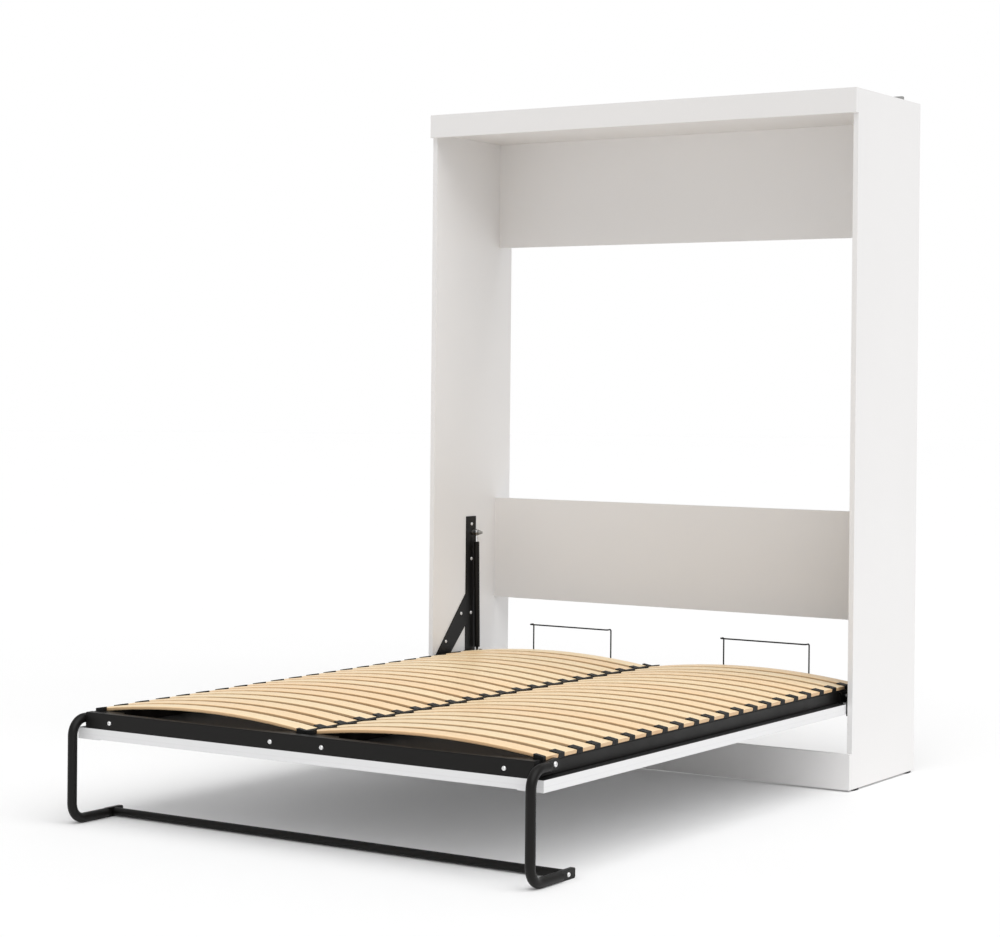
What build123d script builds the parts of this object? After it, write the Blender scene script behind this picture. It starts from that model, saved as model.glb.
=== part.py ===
from build123d import *
import math
import os

# Queen wall bed: an open-backed cabinet and a sprung slat bed that folds up into it.
# Millimetres, +X to the bed's right seen from the foot, +Y from the foot to the wall, +Z up.
# The origin is on the floor, in the middle of the opened bed's footprint.

os.makedirs("parts", exist_ok=True)

# --- Cabinet ---------------------------------------------------------------
CABINET_WIDTH = 1651
CABINET_DEPTH = 497  # depth of the side panels
BOARD = 18
GLIDE_HEIGHT = 6
CABINET_TOP = 2253
FASCIA_HEIGHT = 80.5
KICK_HEIGHT = 115
SOFFIT_Z = 2185  # underside of the top panel
UPPER_RAIL_LOW = 1803
UPPER_RAIL_SETBACK = 412.5
HEADBOARD_LOW = 508.5
HEADBOARD_HEIGHT = 367
HEADBOARD_SETBACK = 399.5
EDGE_ROUND = 1

# --- Bed -------------------------------------------------------------------
BED_REACH = 1829  # from the cabinet's front edges to the foot of the bed
BED_TAIL = 206  # from the cabinet's front edges back to the head of the bed
FACE_HALF_WIDTH = 802.5
FACE_LOW = 246
FACE_TOP = 279
STILE_WIDTH = 81
STILE_THICKNESS = 15
CENTRE_RECESS = 2.3  # how far the centre face lies behind the stiles
RAIL_OUTER = 773
RAIL_WIDTH = 30
RAIL_HEIGHT = 39
RAIL_WALL = 2
RAIL_ROUND = 3
FOOT_RAIL_HEIGHT = 46
CENTRE_RAIL_INNER = 1
CENTRE_RAIL_WIDTH = 28

# --- Slats -----------------------------------------------------------------
SLAT_COUNT = 21
SLAT_PITCH = 92.8
FIRST_SLAT = -1741  # centre of the first slat, from the cabinet's front edges
SLAT_WIDTH = 62
SLAT_THICKNESS = 10
SLAT_CROWN = 28
SLAT_INNER = 6
HOLDER_LENGTH = 92
INNER_HOLDER_WIDTH = 29
SLAT_PLAY = 0.5
SLAT_END_GAP = 0.8
SLAT_EDGE_ROUND = 3

# --- Fold pivot and lift ----------------------------------------------------
PIVOT_SETBACK = 21
PIVOT_Z = 266
PIVOT_PIN_RADIUS = 6
BUSH_RADIUS = 8
RUNNING_CLEARANCE = 0.05
BRACKET_PLATE = 4
POST_FRONT = 206
POST_WIDTH = 60
POST_TOP = 813
BASE_LOW = 241
BASE_TOP = 320
STUD_SETBACK = 250
STUD_Z = 754
STUD_RADIUS = 5
LEVER_SETBACK = 262
LEVER_Z = 312
LEVER_PLATE = 5
GAS_X = 790
GAS_RADIUS = 10
GAS_BORE_RADIUS = 8.5
GAS_ROD_RADIUS = 5
EYE_RADIUS = 12
EYE_WIDTH = 10

# --- Leg frame ---------------------------------------------------------------
LEG_REACH = 1882  # front of the leg tubes, from the cabinet's front edges
LEG_RADIUS = 14
LEG_WALL = 2
LEG_X = 788
LEG_ARM_Z = 306
LEG_BEND = 48
LEG_PIVOT_REACH = 1750
LEG_PIVOT_Z = 309
LEG_FOOT_END = 1655
CROSS_BAR_REACH = 1690
CROSS_BAR_RADIUS = 12

# --- Derived places ----------------------------------------------------------
HALF_WIDTH = CABINET_WIDTH / 2
INNER_HALF = HALF_WIDTH - BOARD
FRONT = (LEG_REACH - CABINET_DEPTH) / 2  # Y of the cabinet's front edges
BACK = FRONT + CABINET_DEPTH
PANEL_HEIGHT = CABINET_TOP - GLIDE_HEIGHT
BED_FOOT = FRONT - BED_REACH
BED_HEAD = FRONT + BED_TAIL
PIVOT_Y = FRONT + PIVOT_SETBACK
STUD_Y = FRONT + STUD_SETBACK
LEVER_Y = FRONT + LEVER_SETBACK
RAIL_INNER = RAIL_OUTER - RAIL_WIDTH
RAIL_TOP = FACE_TOP + RAIL_HEIGHT
RAIL_START = BED_FOOT + RAIL_WIDTH  # side rails butt against the foot rail
SLAT_YS = [FRONT + FIRST_SLAT + n * SLAT_PITCH for n in range(SLAT_COUNT)]
LEG_Y = FRONT - LEG_REACH + LEG_RADIUS
LEG_PIVOT_Y = FRONT - LEG_PIVOT_REACH
CROSS_BAR_Y = FRONT - CROSS_BAR_REACH
SIDES = (("left", -1), ("right", 1))


def save(piece, name):
    """Labels a finished piece and writes it."""
    piece.part.label = name
    export_step(piece.part, f"parts/{name}.step")


def x_plane(x):
    """A sketch plane at x that faces +X, so that a point on it is written as (Y, Z)."""
    return Plane.YZ.offset(x)


def span(sign, inner, outer):
    """Lowest X of a piece that lies between two distances from the centre line."""
    return sign * inner if sign > 0 else -outer


# ============================================================================
# Fastener places
# ============================================================================

# Screws that hold a hinge bracket to its side panel, as (Y, Z).
BRACKET_SCREWS = [
    (FRONT + 238, 785),
    (FRONT + 238, 658),
    (FRONT + 238, 461),
    (FRONT + 174, 462),
    (FRONT + 77, 368),
]
BRACKET_SCREW_RADIUS = 2.5
BRACKET_SCREW_DEPTH = 13
BRACKET_SCREW_TIP_GAP = 0.5  # between the screw's tip and the end of its hole
SCREW_HEAD_RADIUS = 6
SCREW_HEAD_HEIGHT = 2.5
SCREW_HEAD_ROUND = 1.6

# Cam fasteners that draw the cross members against the side panels, as (Y of bolt, Z of bolt).
CAM_RADIUS = 7.4
CAM_DEPTH = 12
CAM_POCKET_DEPTH = 12.5
CAM_PLAY = 0.1
CAM_SLOT_WIDTH = 2
CAM_SLOT_LENGTH = 11.84
CAM_INSET = 34
CAM_MARGIN = 60  # from a cam to the rail's upper or lower edge
CAM_BOLT_RADIUS = 3
CAM_BOLT_BITE = 11  # how far the hole for the cam bolt goes into the side panel
CAM_BOLT_TIP_GAP = 0.5  # between the bolt's tip and the end of its hole
CAM_BOLT_BARREL_GAP = 0.4  # between the bolt and the cam
UPPER_RAIL_MID = FRONT + UPPER_RAIL_SETBACK + BOARD / 2
HEADBOARD_MID = FRONT + HEADBOARD_SETBACK + BOARD / 2
RAIL_CAMS = [
    (UPPER_RAIL_MID, UPPER_RAIL_LOW + CAM_MARGIN),
    (UPPER_RAIL_MID, SOFFIT_Z - CAM_MARGIN),
    (HEADBOARD_MID, HEADBOARD_LOW + CAM_MARGIN),
    (HEADBOARD_MID, HEADBOARD_LOW + HEADBOARD_HEIGHT - CAM_MARGIN),
]
TOP_CAM_SETBACKS = (80, 340)
TOP_CAMS = [(FRONT + setback, SOFFIT_Z + BOARD / 2) for setback in TOP_CAM_SETBACKS]
CAM_X = INNER_HALF - CAM_INSET

# ============================================================================
# Cabinet boards
# ============================================================================

for side, sign in SIDES:
    with BuildPart() as side_panel:
        with BuildSketch(Plane.XY.offset(GLIDE_HEIGHT)):
            with Locations((sign * (HALF_WIDTH - BOARD / 2), FRONT + CABINET_DEPTH / 2)):
                Rectangle(BOARD, CABINET_DEPTH)
        extrude(amount=PANEL_HEIGHT)
        fillet(side_panel.edges(), EDGE_ROUND)
        inner_face = x_plane(span(sign, INNER_HALF, INNER_HALF + BRACKET_SCREW_DEPTH))
        with BuildSketch(inner_face):
            with Locations(*BRACKET_SCREWS):
                Circle(BRACKET_SCREW_RADIUS)
        extrude(amount=BRACKET_SCREW_DEPTH, mode=Mode.SUBTRACT)
        with BuildSketch(x_plane(span(sign, INNER_HALF, INNER_HALF + CAM_BOLT_BITE))):
            with Locations(*RAIL_CAMS, *TOP_CAMS):
                Circle(CAM_BOLT_RADIUS)
        extrude(amount=CAM_BOLT_BITE, mode=Mode.SUBTRACT)
    save(side_panel, f"{side}_side_panel")

with BuildPart() as header_fascia:
    with BuildSketch(Plane.XY.offset(CABINET_TOP - FASCIA_HEIGHT)):
        with Locations((0, FRONT - BOARD / 2)):
            Rectangle(CABINET_WIDTH, BOARD)
    extrude(amount=FASCIA_HEIGHT)
    fillet(header_fascia.edges(), EDGE_ROUND)
save(header_fascia, "header_fascia")

with BuildPart() as kick_board:
    with BuildSketch(Plane.XY.offset(GLIDE_HEIGHT)):
        with Locations((0, FRONT - BOARD / 2)):
            Rectangle(CABINET_WIDTH, BOARD)
    extrude(amount=KICK_HEIGHT)
    fillet(kick_board.edges(), EDGE_ROUND)
save(kick_board, "kick_board")

# Wall brackets stand on the top panel; their screws go down into it.
WALL_BRACKET_X = 741
WALL_BRACKET_WIDTH = 50
WALL_BRACKET_FOOT = 57
WALL_BRACKET_PLATE = 3
WALL_BRACKET_TOP = 2283
WALL_BRACKET_ROUND = 6
WALL_HOLE_RADIUS = 3.25
WALL_HOLE_Z = 2269
BRACKET_FOOT_SCREW_Y = BACK - 32
BRACKET_FOOT_SCREW_OFFSETS = (-13, 13)
BRACKET_FOOT_SCREW_DEPTH = 14
FOOT_SCREW_PLACES = [
    (sign * WALL_BRACKET_X + offset, BRACKET_FOOT_SCREW_Y)
    for _, sign in SIDES
    for offset in BRACKET_FOOT_SCREW_OFFSETS
]
FOOT_SCREW_RADIUS = 2
TOP_PANEL_TOP = SOFFIT_Z + BOARD

with BuildPart() as top_panel:
    with BuildSketch(Plane.XY.offset(SOFFIT_Z)):
        with Locations((0, FRONT + CABINET_DEPTH / 2)):
            Rectangle(2 * INNER_HALF, CABINET_DEPTH)
    extrude(amount=BOARD)
    with BuildSketch(Plane.XY.offset(TOP_PANEL_TOP - BRACKET_FOOT_SCREW_DEPTH)):
        with Locations(*FOOT_SCREW_PLACES):
            Circle(FOOT_SCREW_RADIUS)
    extrude(amount=BRACKET_FOOT_SCREW_DEPTH, mode=Mode.SUBTRACT)
    # Cam pockets are sunk in the upper face, where nobody sees them.
    with BuildSketch(Plane.XY.offset(TOP_PANEL_TOP - CAM_POCKET_DEPTH)):
        with Locations(*[(s * CAM_X, y) for _, s in SIDES for y, _ in TOP_CAMS]):
            Circle(CAM_RADIUS)
    extrude(amount=CAM_POCKET_DEPTH, mode=Mode.SUBTRACT)
    for _, sign in SIDES:
        with BuildSketch(x_plane(span(sign, CAM_X, INNER_HALF))):
            with Locations(*TOP_CAMS):
                Circle(CAM_BOLT_RADIUS)
        extrude(amount=CAM_INSET, mode=Mode.SUBTRACT)
save(top_panel, "top_panel")

for name, setback, low, height, cams in (
    ("upper_back_rail", UPPER_RAIL_SETBACK, UPPER_RAIL_LOW, SOFFIT_Z - UPPER_RAIL_LOW, RAIL_CAMS[:2]),
    ("headboard_rail", HEADBOARD_SETBACK, HEADBOARD_LOW, HEADBOARD_HEIGHT, RAIL_CAMS[2:]),
):
    with BuildPart() as back_rail:
        with BuildSketch(Plane.XY.offset(low)):
            with Locations((0, FRONT + setback + BOARD / 2)):
                Rectangle(2 * INNER_HALF, BOARD)
        extrude(amount=height)
        # Cam pockets open in the rail's rear face.
        with BuildSketch(Plane.XZ.offset(-(FRONT + setback + BOARD))):
            with Locations(*[(s * CAM_X, z) for _, s in SIDES for _, z in cams]):
                Circle(CAM_RADIUS)
        extrude(amount=CAM_POCKET_DEPTH, mode=Mode.SUBTRACT)
        for _, sign in SIDES:
            with BuildSketch(x_plane(span(sign, CAM_X, INNER_HALF))):
                with Locations(*cams):
                    Circle(CAM_BOLT_RADIUS)
            extrude(amount=CAM_INSET, mode=Mode.SUBTRACT)
    save(back_rail, name)


def cam_section():
    """A cam's end: a round barrel with a driver slot."""
    Circle(CAM_RADIUS - CAM_PLAY)
    Rectangle(CAM_SLOT_LENGTH, CAM_SLOT_WIDTH, mode=Mode.SUBTRACT)


# Each cam is a short slotted barrel; its bolt runs from the side panel to the barrel's wall.
with BuildPart() as cam_locks:
    for rail_mid, cams in ((HEADBOARD_MID, RAIL_CAMS[2:]), (UPPER_RAIL_MID, RAIL_CAMS[:2])):
        with BuildSketch(Plane.XZ.offset(-(rail_mid + BOARD / 2))):
            with Locations(*[(s * CAM_X, z) for _, s in SIDES for _, z in cams]):
                cam_section()
        extrude(amount=CAM_DEPTH)
    with BuildSketch(Plane.XY.offset(TOP_PANEL_TOP - CAM_DEPTH)):
        with Locations(*[(s * CAM_X, y) for _, s in SIDES for y, _ in TOP_CAMS]):
            cam_section()
    extrude(amount=CAM_DEPTH)
save(cam_locks, "cam_locks")

CAM_BOLT_INNER = CAM_X + CAM_RADIUS + CAM_BOLT_BARREL_GAP
CAM_BOLT_OUTER = INNER_HALF + CAM_BOLT_BITE - CAM_BOLT_TIP_GAP
with BuildPart() as cam_bolts:
    for _, sign in SIDES:
        with BuildSketch(x_plane(span(sign, CAM_BOLT_INNER, CAM_BOLT_OUTER))):
            with Locations(*RAIL_CAMS, *TOP_CAMS):
                Circle(CAM_BOLT_RADIUS - CAM_PLAY)
        extrude(amount=CAM_BOLT_OUTER - CAM_BOLT_INNER)
save(cam_bolts, "cam_bolts")

# Nailed glides lift the side panels off the floor.
GLIDE_LENGTH = 36
GLIDE_WIDTH = 16
GLIDE_ROUND = 6
GLIDE_CHAMFER = 0.8
GLIDE_SETBACKS = (42, 462)
with BuildPart() as levelling_glides:
    with BuildSketch():
        with Locations(
            *[(s * (HALF_WIDTH - BOARD / 2), FRONT + y) for _, s in SIDES for y in GLIDE_SETBACKS]
        ):
            RectangleRounded(GLIDE_WIDTH, GLIDE_LENGTH, GLIDE_ROUND)
    extrude(amount=GLIDE_HEIGHT)
    chamfer(levelling_glides.faces().group_by(Axis.Z)[0].edges(), GLIDE_CHAMFER)
save(levelling_glides, "levelling_glides")

for side, sign in SIDES:
    with BuildPart() as wall_bracket:
        with BuildSketch(Plane.YZ.offset(sign * WALL_BRACKET_X)):
            with BuildLine():
                Polyline(
                    (BACK - WALL_BRACKET_FOOT, TOP_PANEL_TOP),
                    (BACK, TOP_PANEL_TOP),
                    (BACK, WALL_BRACKET_TOP),
                    (BACK - WALL_BRACKET_PLATE, WALL_BRACKET_TOP),
                    (BACK - WALL_BRACKET_PLATE, TOP_PANEL_TOP + WALL_BRACKET_PLATE),
                    (BACK - WALL_BRACKET_FOOT, TOP_PANEL_TOP + WALL_BRACKET_PLATE),
                    close=True,
                )
            make_face()
        extrude(amount=WALL_BRACKET_WIDTH / 2, both=True)
        upright_corners = wall_bracket.edges().filter_by(Axis.Y).group_by(Axis.Z)[-1]
        fillet(upright_corners, WALL_BRACKET_ROUND)
        with BuildSketch(Plane.XZ.offset(-BACK)):
            with Locations((sign * WALL_BRACKET_X, WALL_HOLE_Z)):
                Circle(WALL_HOLE_RADIUS)
        extrude(amount=WALL_BRACKET_PLATE, mode=Mode.SUBTRACT)
        with BuildSketch(Plane.XY.offset(TOP_PANEL_TOP)):
            with Locations(*[place for place in FOOT_SCREW_PLACES if place[0] * sign > 0]):
                Circle(FOOT_SCREW_RADIUS)
        extrude(amount=WALL_BRACKET_PLATE, mode=Mode.SUBTRACT)
    save(wall_bracket, f"wall_bracket_{side}")

FOOT_SCREW_HEAD = 4.5
FOOT_SCREW_HEAD_HEIGHT = 2.2
FOOT_SCREW_HEAD_ROUND = 1.5
with BuildPart() as wall_bracket_screws:
    with BuildSketch(Plane.XY.offset(TOP_PANEL_TOP - BRACKET_FOOT_SCREW_DEPTH)):
        with Locations(*FOOT_SCREW_PLACES):
            Circle(FOOT_SCREW_RADIUS)
    extrude(amount=BRACKET_FOOT_SCREW_DEPTH + WALL_BRACKET_PLATE)
    with BuildSketch(Plane.XY.offset(TOP_PANEL_TOP + WALL_BRACKET_PLATE)):
        with Locations(*FOOT_SCREW_PLACES):
            Circle(FOOT_SCREW_HEAD)
    extrude(amount=FOOT_SCREW_HEAD_HEIGHT)
    fillet(wall_bracket_screws.faces().group_by(Axis.Z)[-1].edges(), FOOT_SCREW_HEAD_ROUND)
save(wall_bracket_screws, "wall_bracket_screws")

# ============================================================================
# Hinge brackets, pivot pins and lift studs
# ============================================================================

PLATE_INNER = INNER_HALF - BRACKET_PLATE
BASE_FRONT = 1
BRACE_FRONT = 14
BRACE_REAR = 104
BRACE_UPPER = 532
BRACE_LOWER = 420
BRACE_POINTS = [
    (FRONT + BRACE_FRONT, BASE_TOP),
    (FRONT + POST_FRONT, BRACE_UPPER),
    (FRONT + POST_FRONT, BRACE_LOWER),
    (FRONT + BRACE_REAR, BASE_TOP),
]

for side, sign in SIDES:
    with BuildPart() as hinge_bracket:
        with BuildSketch(x_plane(span(sign, PLATE_INNER, INNER_HALF))):
            with Locations((FRONT + POST_FRONT + POST_WIDTH / 2, (BASE_LOW + POST_TOP) / 2)):
                Rectangle(POST_WIDTH, POST_TOP - BASE_LOW)
            with Locations((FRONT + (BASE_FRONT + POST_FRONT) / 2, (BASE_LOW + BASE_TOP) / 2)):
                Rectangle(POST_FRONT - BASE_FRONT, BASE_TOP - BASE_LOW)
            with BuildLine():
                Polyline(*BRACE_POINTS, close=True)
            make_face()
        extrude(amount=BRACKET_PLATE)
        with BuildSketch(x_plane(span(sign, PLATE_INNER, INNER_HALF))):
            with Locations(*BRACKET_SCREWS):
                Circle(BRACKET_SCREW_RADIUS)
            with Locations((PIVOT_Y, PIVOT_Z)):
                Circle(PIVOT_PIN_RADIUS)
            with Locations((STUD_Y, STUD_Z)):
                Circle(STUD_RADIUS)
        extrude(amount=BRACKET_PLATE, mode=Mode.SUBTRACT)
    save(hinge_bracket, f"hinge_bracket_{side}")

with BuildPart() as hinge_bracket_screws:
    for _, sign in SIDES:
        shank = BRACKET_PLATE + BRACKET_SCREW_DEPTH - BRACKET_SCREW_TIP_GAP
        with BuildSketch(x_plane(span(sign, PLATE_INNER, PLATE_INNER + shank))):
            with Locations(*BRACKET_SCREWS):
                Circle(BRACKET_SCREW_RADIUS)
        extrude(amount=shank)
        with BuildSketch(x_plane(span(sign, PLATE_INNER - SCREW_HEAD_HEIGHT, PLATE_INNER))):
            with Locations(*BRACKET_SCREWS):
                Circle(SCREW_HEAD_RADIUS)
        extrude(amount=SCREW_HEAD_HEIGHT)
        flat_faces = hinge_bracket_screws.faces().filter_by(Axis.X)
        own_faces = flat_faces.filter_by(lambda face: face.center().X * sign > 0)
        head_faces = own_faces.sort_by(lambda face: abs(face.center().X))[: len(BRACKET_SCREWS)]
        fillet(head_faces.edges(), SCREW_HEAD_ROUND)
save(hinge_bracket_screws, "hinge_bracket_screws")

PIN_END = RAIL_OUTER - 6
RING_WIDTH = 3
RING_INNER = RAIL_OUTER - 1 - RING_WIDTH  # a retaining ring, 1 mm clear of the lift lever
PIN_FLANGE_RADIUS = 9
for side, sign in SIDES:
    with BuildPart() as pivot_pin:
        for inner, outer, radius in (
            (PIN_END, INNER_HALF, PIVOT_PIN_RADIUS),
            (RING_INNER, RING_INNER + RING_WIDTH, PIN_FLANGE_RADIUS),
            (PLATE_INNER - SCREW_HEAD_HEIGHT, PLATE_INNER, PIN_FLANGE_RADIUS),
        ):
            with BuildSketch(x_plane(span(sign, inner, outer))):
                with Locations((PIVOT_Y, PIVOT_Z)):
                    Circle(radius)
            extrude(amount=outer - inner)
    save(pivot_pin, f"pivot_pin_{side}")

STUD_END = 765
NUT_INNER = 776
NUT_HALF_WIDTH = 8.5
INNER_NUT_GAP = 0.5  # between the rod's eye and the nut on its inner side
OUTER_NUT_GAP = 1
for side, sign in SIDES:
    with BuildPart() as gas_upper_stud:
        with BuildSketch(x_plane(span(sign, STUD_END, INNER_HALF))):
            with Locations((STUD_Y, STUD_Z)):
                Circle(STUD_RADIUS)
        extrude(amount=INNER_HALF - STUD_END)
        for inner, outer in (
            (NUT_INNER, GAS_X - EYE_WIDTH / 2 - INNER_NUT_GAP),
            (GAS_X + EYE_WIDTH / 2 + OUTER_NUT_GAP, PLATE_INNER),
        ):
            with BuildSketch(x_plane(span(sign, inner, outer))):
                with Locations((STUD_Y, STUD_Z)):
                    RegularPolygon(NUT_HALF_WIDTH, 6, major_radius=False)
            extrude(amount=outer - inner)
    save(gas_upper_stud, f"gas_upper_stud_{side}")

# ============================================================================
# Bed frame
# ============================================================================

LEVER_BOLT_Z = 299
LEVER_BOLT_SETBACKS = (58, 112, 160)
LEVER_BOLT_PLACES = [(FRONT + setback, LEVER_BOLT_Z) for setback in LEVER_BOLT_SETBACKS]
LEVER_BOLT_RADIUS = 4
LEG_BOLT_RADIUS = 5
BOLT_PLAY = 0.1
PANEL_SCREW_COUNT = 6
PANEL_SCREW_PITCH = 345
FIRST_PANEL_SCREW = -1650  # from the cabinet's front edges
PANEL_SCREW_YS = [FRONT + FIRST_PANEL_SCREW + n * PANEL_SCREW_PITCH for n in range(PANEL_SCREW_COUNT)]
PANEL_SCREW_RADIUS = 2.2
PANEL_SCREW_DEPTH = 14
PANEL_SCREW_HEAD = 4.5
PANEL_SCREW_HEAD_HEIGHT = 2.4
DRIVER_HOLE_RADIUS = 6
SIDE_SCREW_X = RAIL_OUTER - RAIL_WIDTH / 2
CENTRE_SCREW_X = CENTRE_RAIL_INNER + CENTRE_RAIL_WIDTH / 2
RAIL_LENGTH = BED_HEAD - RAIL_START
PANEL_SCREW_PLACES = [
    (s * x, y) for _, s in SIDES for x in (SIDE_SCREW_X, CENTRE_SCREW_X) for y in PANEL_SCREW_YS
]


def tube_section(width, height):
    """The section of a rectangular steel tube, round its own middle."""
    RectangleRounded(width, height, RAIL_ROUND)
    inner_width = width - 2 * RAIL_WALL
    inner_height = height - 2 * RAIL_WALL
    RectangleRounded(inner_width, inner_height, RAIL_ROUND - RAIL_WALL, mode=Mode.SUBTRACT)


for side, sign in SIDES:
    rail_x = sign * SIDE_SCREW_X
    with BuildPart() as side_rail:
        with BuildSketch(Plane.XZ.offset(-RAIL_START)):
            with Locations((rail_x, FACE_TOP + RAIL_HEIGHT / 2)):
                tube_section(RAIL_WIDTH, RAIL_HEIGHT)
        extrude(amount=-RAIL_LENGTH)
        with BuildSketch(x_plane(span(sign, RAIL_INNER, RAIL_OUTER))):
            with Locations(*LEVER_BOLT_PLACES):
                Circle(LEVER_BOLT_RADIUS + BOLT_PLAY)
            with Locations((LEG_PIVOT_Y, LEG_PIVOT_Z)):
                Circle(LEG_BOLT_RADIUS)
        extrude(amount=RAIL_WIDTH, mode=Mode.SUBTRACT)
        with BuildSketch(Plane.XY.offset(FACE_TOP)):
            with Locations(*[(rail_x, y) for y in PANEL_SCREW_YS]):
                Circle(PANEL_SCREW_RADIUS)
        extrude(amount=RAIL_WALL, mode=Mode.SUBTRACT)
        with BuildSketch(Plane.XY.offset(RAIL_TOP - RAIL_WALL)):
            with Locations(*[(rail_x, y) for y in PANEL_SCREW_YS]):
                Circle(DRIVER_HOLE_RADIUS)
        extrude(amount=RAIL_WALL, mode=Mode.SUBTRACT)
    save(side_rail, f"side_rail_{side}")

    centre_x = sign * CENTRE_SCREW_X
    with BuildPart() as centre_rail:
        with BuildSketch(Plane.XZ.offset(-RAIL_START)):
            with Locations((centre_x, FACE_TOP + RAIL_HEIGHT / 2)):
                tube_section(CENTRE_RAIL_WIDTH, RAIL_HEIGHT)
        extrude(amount=-(RAIL_LENGTH - RAIL_WIDTH))
        with BuildSketch(Plane.XY.offset(FACE_TOP)):
            with Locations(*[(centre_x, y) for y in PANEL_SCREW_YS]):
                Circle(PANEL_SCREW_RADIUS)
        extrude(amount=RAIL_WALL, mode=Mode.SUBTRACT)
        with BuildSketch(Plane.XY.offset(RAIL_TOP - RAIL_WALL)):
            with Locations(*[(centre_x, y) for y in PANEL_SCREW_YS]):
                Circle(DRIVER_HOLE_RADIUS)
        extrude(amount=RAIL_WALL, mode=Mode.SUBTRACT)
    save(centre_rail, f"centre_rail_{side}")

# The foot rail is bolted to a corner bracket at each end of both slat fields.
FOOT_BOLT_NEAR = 89
FOOT_BOLT_FAR = 681
FOOT_BOLT_XS = (-FOOT_BOLT_FAR, -FOOT_BOLT_NEAR, FOOT_BOLT_NEAR, FOOT_BOLT_FAR)
FOOT_BOLT_Z = 299
FOOT_BOLT_RADIUS = 4
FOOT_BOLT_HEAD = 6.5
FOOT_BOLT_HEAD_HEIGHT = 4.5
FOOT_BOLT_HEAD_ROUND = 3
FOOT_RAIL_TOP = FACE_TOP + FOOT_RAIL_HEIGHT
BRACKET_THICKNESS = 3
BRACKET_TAB_WIDTH = 52
BRACKET_TAB_LIFT = 4  # the tab's lower edge above the foot rail's

with BuildPart() as foot_rail:
    with BuildSketch(Plane.YZ.offset(-RAIL_OUTER)):
        with Locations((BED_FOOT + RAIL_WIDTH / 2, FACE_TOP + FOOT_RAIL_HEIGHT / 2)):
            tube_section(RAIL_WIDTH, FOOT_RAIL_HEIGHT)
    extrude(amount=2 * RAIL_OUTER)
    with BuildSketch(Plane.XZ.offset(-BED_FOOT)):
        with Locations(*[(x, FOOT_BOLT_Z) for x in FOOT_BOLT_XS]):
            Circle(FOOT_BOLT_RADIUS + BOLT_PLAY)
    extrude(amount=-RAIL_WIDTH, mode=Mode.SUBTRACT)
save(foot_rail, "foot_rail")

with BuildPart() as head_rail:
    with BuildSketch(Plane.YZ.offset(-RAIL_INNER)):
        with Locations((BED_HEAD - RAIL_WIDTH / 2, FACE_TOP + RAIL_HEIGHT / 2)):
            tube_section(RAIL_WIDTH, RAIL_HEIGHT)
    extrude(amount=2 * RAIL_INNER)
save(head_rail, "head_rail")

PLATE_DEPTH = 25
PLATE_TAPER = 18
# Bolt, near and far edge of each bracket's plate, and how far its rear corners are cut back.
CORNER_PLATES = (
    (FOOT_BOLT_NEAR, 31, 125, 0, PLATE_TAPER),
    (FOOT_BOLT_FAR, 655, 742, PLATE_TAPER, 0),
)
TAB_LOW = FACE_TOP + BRACKET_TAB_LIFT
with BuildPart() as corner_brackets:
    for _, sign in SIDES:
        for bolt_x, near, far, near_cut, far_cut in CORNER_PLATES:
            with BuildSketch(Plane.XY.offset(FOOT_RAIL_TOP - BRACKET_THICKNESS)):
                with BuildLine():
                    Polyline(
                        (sign * near, RAIL_START),
                        (sign * far, RAIL_START),
                        (sign * (far - far_cut), RAIL_START + PLATE_DEPTH),
                        (sign * (near + near_cut), RAIL_START + PLATE_DEPTH),
                        close=True,
                    )
                make_face()
            extrude(amount=BRACKET_THICKNESS)
            with BuildSketch(Plane.XZ.offset(-RAIL_START)):
                with Locations((sign * bolt_x, (TAB_LOW + FOOT_RAIL_TOP) / 2)):
                    Rectangle(BRACKET_TAB_WIDTH, FOOT_RAIL_TOP - TAB_LOW)
            extrude(amount=-BRACKET_THICKNESS)
    with BuildSketch(Plane.XZ.offset(-RAIL_START)):
        with Locations(*[(x, FOOT_BOLT_Z) for x in FOOT_BOLT_XS]):
            Circle(FOOT_BOLT_RADIUS + BOLT_PLAY)
    extrude(amount=-BRACKET_THICKNESS, mode=Mode.SUBTRACT)
save(corner_brackets, "corner_brackets")

NUT_THICKNESS = 6.5
FOOT_NUT_HALF_WIDTH = 6.5
THREAD_PROUD = 1.5  # bolt seen past its nut
FOOT_BOLT_LENGTH = RAIL_WIDTH + BRACKET_THICKNESS + NUT_THICKNESS + THREAD_PROUD
with BuildPart() as foot_rail_bolts:
    with BuildSketch(Plane.XZ.offset(-BED_FOOT)):
        with Locations(*[(x, FOOT_BOLT_Z) for x in FOOT_BOLT_XS]):
            Circle(FOOT_BOLT_HEAD)
    extrude(amount=FOOT_BOLT_HEAD_HEIGHT)
    fillet(foot_rail_bolts.faces().group_by(Axis.Y)[0].edges(), FOOT_BOLT_HEAD_ROUND)
    with BuildSketch(Plane.XZ.offset(-BED_FOOT)):
        with Locations(*[(x, FOOT_BOLT_Z) for x in FOOT_BOLT_XS]):
            Circle(FOOT_BOLT_RADIUS)
    extrude(amount=-FOOT_BOLT_LENGTH)
save(foot_rail_bolts, "foot_rail_bolts")

with BuildPart() as foot_rail_nuts:
    with BuildSketch(Plane.XZ.offset(-(RAIL_START + BRACKET_THICKNESS))):
        with Locations(*[(x, FOOT_BOLT_Z) for x in FOOT_BOLT_XS]):
            RegularPolygon(FOOT_NUT_HALF_WIDTH, 6, major_radius=False)
            Circle(FOOT_BOLT_RADIUS, mode=Mode.SUBTRACT)
    extrude(amount=-NUT_THICKNESS)
save(foot_rail_nuts, "foot_rail_nuts")

# ============================================================================
# Slats and their holders
# ============================================================================

SLAT_MID = (SLAT_INNER + RAIL_OUTER) / 2
SLAT_SEAT = 2  # floor of a holder's slot above the rail
SLAT_END_Z = RAIL_TOP + SLAT_SEAT

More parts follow.
